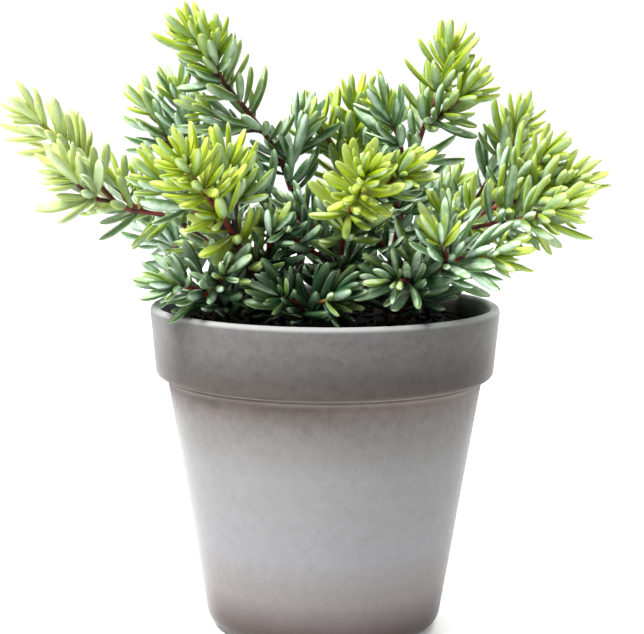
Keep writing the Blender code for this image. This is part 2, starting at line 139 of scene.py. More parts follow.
class Bench:
    """A material or a world while it is made, and its shader nodes."""

    def __init__(self, owner: bpy.types.Material | bpy.types.World, shader: str = "Principled BSDF") -> None:
        """Gives a new material or world its nodes.

        Args:
            owner: the material or world.
            shader: the name of its shader node.
        """
        owner.use_nodes = True
        self.owner = owner
        self.tree = owner.node_tree
        self.shader = self.tree.nodes[shader]

    def node(
        self, kind: str, settings: dict | None = None, sockets: dict | None = None, output: int | str = 0
    ) -> Wire:
        """Adds any shader node.

        Args:
            kind: the node's type.
            settings: its settings, which are set first. A ramp's stops are pairs of place and colour.
            sockets: the value of, or link to, each input socket by number or name.
            output: the output socket that is wanted.

        Returns:
            That output.
        """
        made = self.tree.nodes.new(kind)
        for name, value in (settings or {}).items():
            if name == "stops":
                self.set_stops(made.color_ramp, value)
            else:
                setattr(made, name, value)
        for name, value in (sockets or {}).items():
            self.plug(made.inputs[name], value)
        return Wire(self, made.outputs[output])

    def plug(self, socket: bpy.types.NodeSocket, value: Wire | float | tuple) -> None:
        """Feeds one input socket.

        Args:
            socket: the input.
            value: a wire, a number, or a colour of three numbers.
        """
        if isinstance(value, Wire):
            self.tree.links.new(value.socket, socket)
        elif isinstance(value, tuple) and socket.type == "RGBA":
            socket.default_value = (*value, 1.0)
        else:
            socket.default_value = value

    @staticmethod
    def set_stops(ramp: bpy.types.ColorRamp, stops: tuple[tuple[float, Colour], ...]) -> None:
        """Gives a colour ramp its stops.

        Args:
            ramp: the ramp, which starts with two stops.
            stops: pairs of place and colour, in order.
        """
        ramp.elements.remove(ramp.elements[1])
        ramp.elements[0].position = stops[0][0]
        for place, _ in stops[1:]:
            ramp.elements.new(place)
        for element, (_, colour) in zip(ramp.elements, stops):
            element.color = (*colour, 1.0)

    def growth(self) -> tuple[Wire, ...]:
        """The marks that the mesh carries at each point.

        Returns:
            The four marks, in the mesh's order.
        """
        marks = self.node("ShaderNodeAttribute", {"attribute_name": GROWTH}, output="Color")
        split = self.node("ShaderNodeSeparateColor", None, {0: marks})
        outputs = (*split.socket.node.outputs, marks.socket.node.outputs["Alpha"])
        return tuple(Wire(self, output) for output in outputs)

    def place(self) -> Wire:
        """The point on the surface, in metres."""
        return self.node("ShaderNodeTexCoord", output="Object")

    def height(self) -> Wire:
        """The height of the point on the surface, in metres."""
        return self.node("ShaderNodeSeparateXYZ", None, {0: self.place()}, output="Z")

    def speckle(self, size: float, detail: float, roughness: float) -> Wire:
        """Soft noise about 0.5, by the size of its lumps in metres, its finer layers and their strength."""
        sockets = {"Vector": self.place(), "Scale": 1 / size, "Detail": detail, "Roughness": roughness}
        return self.node("ShaderNodeTexNoise", None, sockets)

    def mix(
        self, share: Wire | float, first: Wire | Colour, second: Wire | Colour, blend: str = "MIX"
    ) -> Wire:
        """The second colour laid over the first: not at all where share is 0, and wholly where it is 1."""
        settings = {"data_type": "RGBA", "blend_type": blend, "clamp_factor": True}
        return self.node("ShaderNodeMix", settings, {0: share, 6: first, 7: second}, output=2)

    def bump(self, height: Wire, depth: float, strength: float) -> Wire:
        """The normal for fine relief from 0 to 1, by its depth in metres and how much of it shows."""
        return self.node("ShaderNodeBump", None, {"Strength": strength, "Distance": depth, "Height": height})

    def finished(self, **sockets: Wire | float | tuple) -> bpy.types.Material | bpy.types.World:
        """Feeds the shader.

        Args:
            sockets: the shader's sockets, with _ for each space in a name.

        Returns:
            The finished material or world.
        """
        for name, value in sockets.items():
            self.plug(self.shader.inputs[name.replace("_", " ")], value)
        return self.owner


# Finishes


@dataclass(frozen=True)
class LeafFinish:
    """Frosted leaves: yellow-green inside and grey-green outside when young, blue-green when old, with
    painted shade in the heart of the plant, low down, at each leaf's root and on its flanks, painted light at
    the plant's left and right sides, and a painted highlight along each ridge.
    """

    young_inner: Colour = (0.47, 0.57, 0.004)
    young_outer: Colour = (0.225, 0.36, 0.08)
    # The flank colours: partly the leaves' own deeper green, partly painted shade.
    young_flank_and_shade: Colour = (0.25, 0.35, 0.0)
    old_inner: Colour = (0.140, 0.28, 0.075)
    old_outer: Colour = (0.122, 0.27, 0.125)
    old_flank_and_shade: Colour = (0.05, 0.12, 0.03)
    # Partly the leaves' real whitish wax, partly a painted highlight along each leaf's ridge.
    frost_and_highlight: Colour = (0.69, 0.83, 0.72)
    pale_tip: Colour = (0.58, 0.65, 0.16)
    # Painted light at the plant's left and right sides.
    painted_light_colour: Colour = (0.72, 0.77, 0.40)
    # Painted shade in the heart of the plant, low down and at each leaf's root; some leaves also take it at
    # random.
    deep_shade: Colour = (0.006, 0.027, 0.015)
    darkest: float = 0.86
    palest: float = 0.45
    flank_shade_share: float = 0.75
    smooth: float = 0.36
    frosted: float = 0.6

    def material(self) -> bpy.types.Material:
        """The leaves' material.

        Returns:
            The material, for faces marked with share of length, side, youth, and painted light and shade.
        """
        bench = Bench(bpy.data.materials.new("sedum leaf"))
        share, side, youth, tint = bench.growth()
        patches = bench.speckle(3.4 * MM, 2.0, 0.55)
        fine = bench.speckle(0.5 * MM, 2.0, 0.6)
        ridge = abs(side * 2 - 1)
        inner = bench.mix(youth, self.old_inner, self.young_inner)
        outer = bench.mix(youth, self.old_outer, self.young_outer)
        edge = bench.mix(youth, self.old_flank_and_shade, self.young_flank_and_shade)
        facing = (side + (patches - 0.5) * 0.35).between(0.10, 0.50)
        flesh = bench.mix(facing, outer, inner)
        flesh = bench.mix(share.between(0.72, 1.0) * (0.2 + youth * 0.3), flesh, self.pale_tip)
        # Darker flanks: partly their own deeper green, partly painted shade.
        flesh = bench.mix((1 - ridge).between(0.15, 0.75) * self.flank_shade_share, flesh, edge)
        # Painted shade in the plant's heart and low down, stronger towards each leaf's root.
        shade = (tint * (1.35 - share * 0.6)).between(0.2, 1.0)
        # Painted shade at each leaf's root, among the other leaves.
        painted_root_shade = (1 - share).between(0.45, 1.0) * (0.5 - youth * 0.2)
        flesh = bench.mix(painted_root_shade, flesh, self.deep_shade)
        flesh = bench.mix(shade * self.darkest, flesh, self.deep_shade)
        # Painted light at the plant's left and right sides.
        flesh = bench.mix((0 - tint).between(0.0, 1.0) * self.palest, flesh, self.painted_light_colour)
        # Whitish wax in patches, with a painted highlight along the ridge and a little towards the tip.
        bloom_and_highlight = (patches * 0.6 + ridge * 0.6 + share * 0.1).between(0.60, 1.05)
        frost_and_highlight = bloom_and_highlight * (0.84 - youth * 0.58) * (1 - shade)
        return bench.finished(
            Base_Color=bench.mix(frost_and_highlight, flesh, self.frost_and_highlight),
            Roughness=self.smooth + frost_and_highlight * (self.frosted - self.smooth),
            Normal=bench.bump(patches * 0.7 + fine * 0.3, 0.25 * MM, 0.35),
            Subsurface_Weight=0.18,
            Subsurface_Radius=(0.9, 1.0, 0.25),
            Subsurface_Scale=1.2 * MM,
            Specular_IOR_Level=0.3,
            Coat_Weight=(1 - shade) * 0.3,
            Coat_Roughness=0.4,
        )


@dataclass(frozen=True)
class WoodFinish:
    """Stems: nearly black at the foot, dark red above it, and pink-green at the tip."""

    foot: Colour = (0.010, 0.005, 0.004)
    red: Colour = (0.045, 0.006, 0.006)
    bright: Colour = (0.22, 0.012, 0.010)
    tip: Colour = (0.30, 0.30, 0.05)

    def material(self) -> bpy.types.Material:
        """The stems' material.

        Returns:
            The material, for faces marked with share of length and nearness to a knuckle.
        """
        bench = Bench(bpy.data.materials.new("sedum stem"))
        share, knuckle, *_ = bench.growth()
        blotch = bench.speckle(4.0 * MM, 3.0, 0.6)
        bark = bench.mix((share + (blotch - 0.5) * 0.3).between(0.05, 0.5), self.foot, self.red)
        bark = bench.mix((blotch + knuckle * 0.2).between(0.52, 0.72) * share, bark, self.bright)
        return bench.finished(
            Base_Color=bench.mix(share.between(0.82, 1.0), bark, self.tip),
            Roughness=0.42 + blotch * 0.2,
            Normal=bench.bump(bench.speckle(0.8 * MM, 3.0, 0.6), 0.2 * MM, 0.5),
        )


@dataclass(frozen=True)
class ClayFinish:
    """Matte grey clay, sprayed darker and browner at its band, its ledge and its foot. A painted highlight
    lies on the bead and on the rubbed lip, and painted shade inside.
    """

    # Heights as shares of the pot's, with the colour there
    stops: tuple[tuple[float, Colour], ...] = (
        (0.00, (0.040, 0.027, 0.023)),
        (0.06, (0.070, 0.052, 0.047)),
        (0.16, (0.191, 0.173, 0.170)),
        (0.30, (0.235, 0.235, 0.242)),
        (0.54, (0.220, 0.219, 0.222)),
        (0.68, (0.157, 0.152, 0.146)),
        (0.74, (0.131, 0.110, 0.103)),
        (0.765, (0.060, 0.046, 0.040)),
        (0.84, (0.057, 0.049, 0.045)),
        (0.92, (0.093, 0.090, 0.087)),
        (0.985, (0.105, 0.102, 0.103)),
    )
    # Painted highlight on the bead under the band.
    bead: Colour = (0.112, 0.090, 0.076)
    # The lip: partly clay rubbed paler, partly a painted highlight.
    worn_and_highlight: Colour = (0.30, 0.30, 0.295)
    dust: Colour = (1.35, 1.35, 1.35)
    stain: Colour = (0.66, 0.61, 0.58)
    # Painted shade on the inside wall.
    painted_inside_shade: Colour = (0.012, 0.009, 0.008)

    def material(self, height: float) -> bpy.types.Material:
        """The pot's material.

        Args:
            height: the pot's height, in metres.

        Returns:
            The material, for faces marked with whether they are inside.
        """
        bench = Bench(bpy.data.materials.new("sprayed clay"))
        inside, *_ = bench.growth()
        mottle = bench.speckle(14 * MM, 4.0, 0.6)
        blotch = bench.speckle(3.6 * MM, 4.0, 0.7)
        grain = bench.speckle(1.1 * MM, 3.0, 0.7)
        high = bench.height() * (1 / height)
        level = high + (mottle - 0.5) * 0.04
        clay = bench.node("ShaderNodeValToRGB", {"stops": self.stops}, {0: level})
        # Painted highlight over the bead and the shaded crease above it.
        bead = high.between(0.756, 0.772) * (1 - high.between(0.777, 0.788)) * (0.3 + mottle)
        clay = bench.mix(bead, clay, self.bead)
        spray = 0.35 + high.between(0.55, 0.75) * 0.65
        layers = (
            (blotch.between(0.46, 0.72), 0.5, self.stain),
            ((1 - blotch).between(0.48, 0.74), 0.45, self.dust),
            (grain.between(0.50, 0.80), 0.4, self.dust),
            ((1 - grain).between(0.50, 0.80), 0.4, self.stain),
        )
        for where, strength, colour in layers:
            clay = bench.mix(where * spray * strength, clay, colour, "MULTIPLY")
        # The lip: partly clay rubbed paler, partly a painted highlight.
        clay = bench.mix(high.between(0.983, 0.995), clay, self.worn_and_highlight)
        return bench.finished(
            # Painted shade on the inside wall, up to just under the lip.
            Base_Color=bench.mix(inside * (1 - high.between(0.955, 0.985)), clay, self.painted_inside_shade),
            Roughness=0.78 + grain * 0.15,
            Normal=bench.bump(mottle * 0.5 + grain * 0.5, 0.35 * MM, 0.4),
            Sheen_Weight=0.4,
            Sheen_Roughness=0.35,
        )


@dataclass(frozen=True)
class SoilFinish:
    """Damp peat with flecks of bark."""

    peat: Colour = (0.0012, 0.001, 0.0009)
    bark: Colour = (0.006, 0.004, 0.003)
    fleck: Colour = (0.02, 0.017, 0.014)

    def material(self) -> bpy.types.Material:
        """The soil's material.

        Returns:
            The material.
        """
        bench = Bench(bpy.data.materials.new("damp peat"))
        lumps = bench.speckle(3.0 * MM, 4.0, 0.7)
        fine = bench.speckle(0.9 * MM, 2.0, 0.6)
        earth = bench.mix(lumps.between(0.45, 0.7), self.peat, self.bark)
        return bench.finished(
            Base_Color=bench.mix(fine.between(0.66, 0.74), earth, self.fleck),
            Roughness=0.85 + fine * 0.1,
            Specular_IOR_Level=0.05,
            Normal=bench.bump(lumps * 0.6 + fine * 0.4, 1.0 * MM, 0.8),
        )


@dataclass(frozen=True)
class FloorFinish:
    """A pale matte floor that glows a little."""

    colour: Colour = (0.88, 0.88, 0.88)
    glow: float = 0.2

    def material(self) -> bpy.types.Material:
        """The floor's material."""
        return Bench(bpy.data.materials.new("pale floor")).finished(
            Base_Color=self.colour,
            Roughness=0.9,
            Specular_IOR_Level=0.2,
            Emission_Color=self.colour,
            Emission_Strength=self.glow,
        )


# Meshes


@dataclass
class Sheath:
    """A mesh while it is gathered from closed strips, each a row of rings between two end points.

    Each of its corners is the number of a patch of the map, and the corner's place in that patch."""

    points: list[Vector] = field(default_factory=list)
    marks: list[Marks] = field(default_factory=list)
    faces: list[Face] = field(default_factory=list)
    skins: list[int] = field(default_factory=list)
    corners: list[tuple[int, float, float]] = field(default_factory=list)
    patches: int = 0
    margin: float = 0.04

    def add_strip(
        self,
        ends: tuple[Vector, Vector],
        rings: list[list[Vector]],
        marks: list[Marks],
        skin: Skin,
        rows: int = 0,
    ) -> None:
        """Adds one strip.

        Args:
            ends: its first and last points.
            rings: its rings, each turning left as seen from its last point.
            marks: the marks of each point, from the first end to the last.
            skin: the material that it wears.
            rows: how many rings share one patch of the map, or 0 for all of them.
        """
        sides, last = len(rings[0]), len(rings) + 1
        rows = rows or last
        base = len(self.points)
        self.points += [ends[0], *(point for ring in rings for point in ring), ends[1]]
        self.marks += marks
        faces = strip_faces(sides, len(rings))
        for face, places in faces:
            self.faces.append(tuple(base + number for number in face))
            patch = places[0][1] // rows
            for across, up in places:
                self.corners.append((self.patches + patch, across / sides, (up - patch * rows) / rows))
        self.skins += [skin.value] * len(faces)
        self.patches += math.ceil(last / rows)

    def make(self, name: str, materials: list[bpy.types.Material]) -> bpy.types.Object:
        """Makes the object.

        Args:
            name: its name.
            materials: its materials, in the order of Skin.

        Returns:
            The object, linked to the scene.
        """
        mesh = bpy.data.meshes.new(name)
        mesh.from_pydata([tuple(point) for point in self.points], [], self.faces)
        for material in materials:
            mesh.materials.append(material)
        mesh.polygons.foreach_set("material_index", self.skins)
        growth = mesh.attributes.new(GROWTH, "FLOAT_COLOR", "POINT")
        growth.data.foreach_set("color", [number for marks in self.marks for number in marks])
        mesh.uv_layers.new(name=MAP_NAME).data.foreach_set("uv", self.flat_map())
        mesh.shade_smooth()
        return linked(bpy.data.objects.new(name, mesh))

    def flat_map(self) -> list[float]:
        """The map, with each patch in a square of its own.

        Returns:
            Each corner's place across and up.
        """
        across = math.ceil(math.sqrt(self.patches))
        used = 1 - 2 * self.margin
        flat = []
        for patch, u, v in self.corners:
            flat.append((patch % across + self.margin + u * used) / across)
            flat.append((patch // across + self.margin + v * used) / across)
        return flat


def linked(thing: bpy.types.Object) -> bpy.types.Object:
    """Puts an object in the scene and gives it back."""
    bpy.context.scene.collection.objects.link(thing)
    return thing


@cache
def strip_faces(sides: int, rings: int) -> list[tuple[Face, list[tuple[float, int]]]]:
    """The faces of a closed strip: an end point, rings of points, and the other end point.

    Args:
        sides: how many points each ring has.
        rings: how many rings there are.

    Returns:
        For each face the numbers of its points, and their columns and rows.
    """
    numbers = [[0] * sides]
    numbers += [[1 + ring * sides + i for i in range(sides)] for ring in range(rings)]
    numbers += [[1 + rings * sides] * sides]
    faces = []
    for i in range(sides):
        j = (i + 1) % sides
        for row, (low, high) in enumerate(zip(numbers, numbers[1:])):
            face = [low[i], low[j], high[j], high[i]]
            places = [(i, row), (i + 1, row), (i + 1, row + 1), (i, row + 1)]
            if row == 0:
                face[:2], places[:2] = [low[i]], [(i + 0.5, row)]
            if row == rings:
                face[2:], places[2:] = [high[i]], [(i + 0.5, row + 1)]
            faces.append((tuple(face), places))
    return faces


def arc(radius_at: float, height_at: float, radius: float, start: float, end: float, steps: int) -> Profile:
    """Pairs of radius and height on a round corner about a centre, between two angles in degrees."""
    turns = [math.radians(start + (end - start) * i / steps) for i in range(steps + 1)]
    return [(radius_at + radius * math.cos(turn), height_at + radius * math.sin(turn)) for turn in turns]


def finer(profile: Profile, longest: float) -> Profile:
    """A profile whose long stretches are cut up.

    Args:
        profile: pairs of radius and height.
        longest: the longest stretch that stays whole.

    Returns:
        The same outline with more points.
    """
    cut = [profile[0]]
    for (r0, z0), (r1, z1) in zip(profile, profile[1:]):
        pieces = max(1, math.ceil(math.hypot(r1 - r0, z1 - z0) / longest))
        cut += [(r0 + (r1 - r0) * i / pieces, z0 + (z1 - z0) * i / pieces) for i in range(1, pieces + 1)]
    return cut


def turned(profile: Profile, sides: int) -> Sheath:
    """The skin that a profile makes when it turns round Z.

    Args:
        profile: pairs of radius and height, from the axis back to the axis, lowest first.
        sides: how many sides the rings have.

    Returns:
        The skin, whose first mark is 1 past the highest ring and 0 up to it.
    """
    turns = [math.tau * i / sides for i in range(sides)]
    circle = [(math.cos(turn), math.sin(turn)) for turn in turns]
    rings = [[Vector((r * x, r * y, z)) for x, y in circle] for r, z in profile[1:-1]]
    ends = Vector((0.0, 0.0, profile[0][1])), Vector((0.0, 0.0, profile[-1][1]))
    top = max(range(len(rings)), key=lambda i: profile[i + 1][1])
    marks = [NO_MARKS]
    marks += [(float(i > top), 0.0, 0.0, 0.0) for i in range(len(rings)) for _ in range(sides)]
    skin = Sheath()
    skin.add_strip(ends, rings, marks + [(1.0, 0.0, 0.0, 0.0)], Skin.WOOD)
    return skin


def settled(piece: bpy.types.Object, node: str) -> bpy.types.Object:
    """Puts a piece in its node's place.

    Args:
        piece: the piece.
        node: the node that it stands for.

    Returns:
        The piece.
    """
    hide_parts(node)
    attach(piece, BODY)
    return piece


# The pot and its soil


@dataclass
class Pot:
    """The flared pot: a wide band round its rim, a bead under the band and a rounded foot."""

    height: float
    rim_radius: float
    sides: int = 160
    longest: float = 4.0 * MM
    lip_round: float = 1.7 * MM
    band_height: float = 22.0 * MM
    band_low_radius: float = 58.2 * MM
    band_round: float = 2.0 * MM
    neck_radius: float = 54.2 * MM
    bead_round: float = 0.8 * MM
    lip_depth: float = 3.0 * MM
    wall_draft: float = 0.6 * MM
    shoulder: float = 7.0 * MM
    foot_radius: float = 41.0 * MM
    foot_round: float = 6.0 * MM
    wall: float = 4.0 * MM
    floor: float = 5.0 * MM
    finish: ClayFinish = field(default_factory=ClayFinish)

    @classmethod
    def of_frame(cls) -> Pot:
        """The pot at its solid's height and width."""
        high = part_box("pot")[1]
        return cls(height=high.z, rim_radius=high.x)

    def inner_wall(self) -> Profile:
        """The pot's inside, as pairs of radius and height from the lip down to the floor's edge."""
        return [
            (self.rim_radius - 2 * self.lip_round - self.wall_draft, self.height - self.lip_depth),
            (self.neck_radius - self.wall_draft, self.height - self.band_height),
            (self.neck_radius - self.wall, self.height - self.band_height - self.shoulder),
            (self.foot_radius - self.wall, self.floor),
        ]

    def profile(self) -> Profile:
        """The whole outline.

        Returns:
            Pairs of radius and height, from the middle of the base round the lip to the middle of the floor.
        """
        band_low = self.height - self.band_height
        neck = band_low - self.band_round
        outline = [(0.0, 0.0)]
        outline += arc(self.foot_radius - self.foot_round, self.foot_round, self.foot_round, -90, -8, 12)
        outline += arc(self.neck_radius, neck - self.bead_round, self.bead_round, -90, 25, 8)
        outline += arc(self.band_low_radius - self.band_round, band_low, self.band_round, -90, 0, 8)
        lip = self.lip_round
        outline += arc(self.rim_radius - lip, self.height - lip, lip, 0, 180, 16)
        outline += self.inner_wall()
        outline += [(0.0, self.floor)]
        return finer(outline, self.longest)

    def build(self) -> bpy.types.Object:
        """The pot's piece, in place of its solid."""
        pot = turned(self.profile(), self.sides).make("fine_pot", [self.finish.material(self.height)])
        return settled(pot, "pot")

    def inside_radius(self, height: float) -> float:
        """The inside radius at a height.

        Args:
            height: the height above the base.

        Returns:
            How far the inner wall is from the axis there.
        """
        wall = self.inner_wall()
        for (top_radius, top), (low_radius, low) in zip(wall, wall[1:]):
            if height >= low:
                return low_radius + (top_radius - low_radius) * (height - low) / (top - low)
        return wall[-1][0]


@dataclass(frozen=True)
class Crumbs:
    """Crumbs and longer bits of bark, strewn over the soil: uneven rings of points between two ends.

    Reach and wear are the least and the most of what is drawn. Girths are places along the crumb from
    -1 to 1, and widths there."""

    count: int = 620
    margin: float = 2.0 * MM
    reach: tuple[float, float] = (0.5 * MM, 1.5 * MM)
    bark_share: float = 0.12
    bark_scale: float = 1.6
    proud: float = 0.15
    lean: float = 0.3
    girths: tuple[tuple[float, float], ...] = ((-0.6, 0.6), (0.0, 0.9), (0.6, 0.55))
    wear: tuple[float, float] = (0.6, 0.9)
    flatness: float = 0.6
    sides: int = 6

    def scatter(self, skin: Sheath, rim: float, surface: Callable[[float, float], float]) -> None:
        """Lays the crumbs on the soil.

        Args:
            skin: the soil's skin, which they join.
            rim: the radius of its surface.
            surface: the height of its surface at a place.
        """
        draw = random.Random("crumbs")
        for _ in range(self.count):
            away, turn = (rim - self.margin) * math.sqrt(draw.random()), draw.uniform(0, math.tau)
            x, y = away * math.cos(turn), away * math.sin(turn)
            reach = draw.uniform(*self.reach) * (self.bark_scale if draw.random() < self.bark_share else 1.0)
            middle = Vector((x, y, surface(x, y) + reach * self.proud))
            heading = Quaternion(UP, draw.uniform(0, math.tau))
            long = heading @ Vector((1.0, 0.0, draw.uniform(-self.lean, self.lean))).normalized()
            rings = []
            for along, wide in self.girths:
                rings.append(self.ring(draw, middle + long * (along * reach), long, reach * wide))
            marks = [NO_MARKS] * (self.sides * len(rings) + 2)
            skin.add_strip((middle - long * reach, middle + long * reach), rings, marks, Skin.WOOD)

    def ring(self, draw: random.Random, middle: Vector, long: Vector, width: float) -> list[Vector]:
        """One uneven ring of a crumb.

        Args:
            draw: the crumbs' random draw.
            middle: the ring's middle.
            long: the direction along the crumb.
            width: half the ring's width.

        Returns:
            The ring's points.
        """
        side = long.cross(UP).normalized()
        above = side.cross(long)
        ring = []
        for i in range(self.sides):
            spin, size = math.tau * i / self.sides, width * draw.uniform(*self.wear)
            away = side * math.cos(spin) * size - above * math.sin(spin) * size * self.flatness
            ring.append(middle + away)
        return ring


@dataclass
class Soil:
    """The potting soil: an uneven crown of peat, with crumbs on it."""

    pot: Pot
    gap: float = 0.3 * MM
    edge_depth: float = 7.0 * MM
    crown: float = 2.5 * MM
    bump: float = 0.7 * MM
    waves: tuple[float, float, float] = (410.0, 370.0, 690.0)
    # Where lumps and grit lie in the noise, and how far apart they are
    lumps_and_grit: tuple[tuple[float, float], ...] = ((0.0, 3.2 * MM), (5.0, 1.3 * MM))
    grit_share: float = 0.5
    roughness: float = 0.7 * MM
    hole_depth: float = 12.0 * MM
    sides: int = 144
    ring_step: float = 0.9 * MM
    crumbs: Crumbs = field(default_factory=Crumbs)
    finish: SoilFinish = field(default_factory=SoilFinish)

    @property
    def edge(self) -> float:
        """The height of the soil at the pot's wall."""
        return self.pot.height - self.edge_depth

    def height(self, x: float, y: float) -> float:
        """The height of the soil's surface.

        Args:
            x: to the right of the axis.
            y: behind the axis.

        Returns:
            The height above the pot's base.
        """
        share = min(1.0, math.hypot(x, y) / (self.pot.neck_radius - self.pot.wall))
        across, along, aslant = self.waves
        waves = math.sin(x * across) * math.cos(y * along) + math.sin((x - y) * aslant)
        return self.edge + (self.crown + self.bump * waves) * (1.0 - share * share)

    def rough_height(self, x: float, y: float) -> float:
        """The height of the surface with its lumps and grit."""
        lumps, grit = (noise.noise(Vector((x, y, z)) / size) for z, size in self.lumps_and_grit)
        return self.height(x, y) + (lumps + self.grit_share * grit) * self.roughness

    def build(self) -> bpy.types.Object:
        """The soil's piece, in place of its solid.

        Returns:
            The piece.
        """
        band_low = self.pot.height - self.pot.band_height
        heights = (self.pot.floor + self.gap, band_low - self.pot.shoulder, band_low, self.edge)
        outline = [(0.0, heights[0])] + [(self.pot.inside_radius(high) - self.gap, high) for high in heights]
        rim = outline[-1][0]
        rings = math.floor(rim / self.ring_step)
        outline += [(rim * ring / rings, self.edge) for ring in range(rings - 1, -1, -1)]
        skin = turned(outline, self.sides)
        for point in skin.points:
            if point.z == self.edge:
                point.z = self.rough_height(point.x, point.y)
        self.crumbs.scatter(skin, rim, self.rough_height)
        return settled(skin.make("fine_soil", [self.finish.material()]), "soil")


# How the sedum grows


@dataclass(frozen=True)
class Shoot:
    """A leafy shoot: points on its way in millimetres, its leaves, the length from its tip that they
    cover, and the share of them that is young. A main shoot's first point is where it leaves the soil.
    A side shoot leaves the main one at the share joins of its length."""

    points: tuple[tuple[float, ...], ...]
    leaves: int
    leafy: float
    joins: float = 0.0
    young: float = 0.45


STEMS = {
    "stem_far_left": (
        Shoot(
            ((-25, -5), (-34, -8, 128), (-52, -11, 142), (-68, -14, 146), (-80, -16, 159), (-95, -18, 175)),
            24, 104, young=0.7,
        ),
        Shoot(((-77, -25, 150), (-84, -27, 158)), 11, 16, joins=0.66, young=0.7),
        Shoot(((-66, -11, 147), (-69, -10, 153)), 6, 10, joins=0.52, young=0.6),
    ),
    "stem_top_left": (
        Shoot(((-10, 4), (-9, 5, 137), (-15, 8, 159), (-22, 6, 171), (-33, 4, 185), (-45, 0, 202)), 24, 104),
        Shoot(((-31, 9, 171), (-40, 11, 177)), 8, 14, joins=0.66, young=0.5),
        Shoot(((-18, 1, 146), (-26, -2, 155)), 9, 14, joins=0.42, young=0.15),
        Shoot(((-11, 10, 162), (-8, 10, 172)), 8, 14, joins=0.48, young=0.1),
        Shoot(((-36, 0, 189), (-38, -2, 199)), 9, 12, joins=0.82, young=0.6),
    ),
    "stem_left_back": (
        Shoot(((-26, 16), (-36, 25, 132), (-52, 35, 158), (-63, 38, 177)), 17, 52, young=0.3),
        Shoot(((-51, 33, 168), (-54, 33, 183)), 12, 22, joins=0.6, young=0.2),
        Shoot(((-38, 20, 143), (-43, 18, 151)), 8, 14, joins=0.4, young=0.1),
    ),
    "stem_front_left": (
        Shoot(((-14, -20), (-24, -29, 126), (-31, -37, 141), (-44, -52, 162)), 24, 58, young=0.8),
        Shoot(((-29, -34, 150), (-32, -36, 161)), 13, 18, joins=0.6, young=0.7),
        Shoot(((-43, -36, 147), (-53, -37, 156)), 10, 16, joins=0.62, young=0.5),
        Shoot(((-19, -31, 131), (-17, -36, 140)), 8, 12, joins=0.4, young=0.1),
    ),
    "stem_middle_back": (
        Shoot(((4, 18), (7, 24, 140), (9, 28, 160), (10, 28, 178)), 23, 48, young=0.9),
        Shoot(((3, 25, 163), (-3, 23, 173)), 8, 12, joins=0.6, young=0.75),
        Shoot(((17, 25, 163), (20, 23, 173)), 8, 12, joins=0.6, young=0.75),
    ),
    "stem_middle_front": (
        Shoot(((7, -12), (5, -20, 128), (7, -30, 143), (12, -54, 159)), 23, 58, young=0.7),
        Shoot(((16, -34, 152), (24, -42, 159)), 11, 16, joins=0.58, young=0.55),
        Shoot(((-1, -20, 136), (-8, -18, 145)), 9, 14, joins=0.4, young=0.0),
        Shoot(((-8, -27, 135), (-14, -34, 141)), 9, 16, joins=0.36, young=0.0),
    ),
    "stem_top_right": (
        Shoot(((21, 6), (27, 5, 147), (33, 0, 172), (37, -2, 182), (41, -3, 196)), 24, 84),
        Shoot(((40, -7, 178), (46, -10, 184)), 12, 16, joins=0.76, young=0.7),
        Shoot(((24, -4, 145), (24, -9, 154)), 8, 14, joins=0.42, young=0.15),
        Shoot(((20, -3, 131), (16, -9, 138)), 8, 12, joins=0.3, young=0.0),
        Shoot(((25, -2, 167), (20, -3, 178)), 8, 14, joins=0.54, young=0.2),
    ),
    "stem_right": (
        Shoot(((36, 12), (46, 15, 135), (56, 17, 152), (64, 18, 163), (67, 18, 173)), 17, 26, young=0.6),
        Shoot(((44, 9, 134), (42, 5, 141)), 8, 14, joins=0.36, young=0.1),
    ),
    "stem_far_right": (
        Shoot(((27, -8), (38, -10, 132), (51, -15, 144), (66, -22, 150), (79, -27, 155)), 23, 60, young=0.8),
        Shoot(((65, -18, 157), (71, -22, 163)), 12, 18, joins=0.62, young=0.7),
        Shoot(((64, -32, 144), (74, -38, 148)), 13, 22, joins=0.5, young=0.6),
        Shoot(((42, -18, 137), (40, -24, 143)), 8, 12, joins=0.36, young=0.3),
    ),
    "stem_low_right": (
        Shoot(((24, -25), (31, -30, 124), (41, -37, 131), (54, -40, 133)), 15, 40, young=0.25),
        Shoot(((27, -41, 124), (21, -48, 126)), 9, 16, joins=0.35, young=0.0),
        Shoot(((38, -43, 131), (36, -47, 138)), 8, 12, joins=0.56, young=0.3),
    ),
    "stem_low_left": (
        Shoot(((-32, -22), (-39, -31, 119), (-49, -39, 123)), 12, 28, young=0.0),
        Shoot(((-35, -35, 121), (-32, -43, 127)), 8, 14, joins=0.5, young=0.0),
    ),
    "stem_low_front": (
        Shoot(((-6, -32), (-4, -38, 116), (2, -43, 119)), 10, 16, young=0.0),
        Shoot(((-9, -41, 117), (-14, -45, 120)), 7, 10, joins=0.45, young=0.0),
    ),
    "stem_back_left": (
        Shoot(((-16, 32), (-26, 44, 130), (-38, 57, 146), (-44, 63, 156)), 15, 50),
        Shoot(((-40, 50, 132), (-51, 52, 136)), 10, 22, joins=0.4, young=0.2),
    ),
    "stem_back": (
        Shoot(((4, 36), (5, 50, 130), (6, 63, 143), (8, 71, 152)), 15, 46),
        Shoot(((18, 60, 134), (26, 67, 138)), 10, 22, joins=0.45, young=0.2),
    ),
    "stem_back_right": (
        Shoot(((24, 28), (34, 40, 130), (43, 52, 142), (48, 58, 149)), 15, 46),
        Shoot(((50, 40, 132), (61, 40, 137)), 11, 24, joins=0.4, young=0.2),
    ),
    "stem_left": (Shoot(((-38, 2), (-47, 12, 124), (-58, 22, 134), (-63, 26, 139)), 15, 38, young=0.1),),
}
GOLDEN_ANGLE = math.radians(137.5)
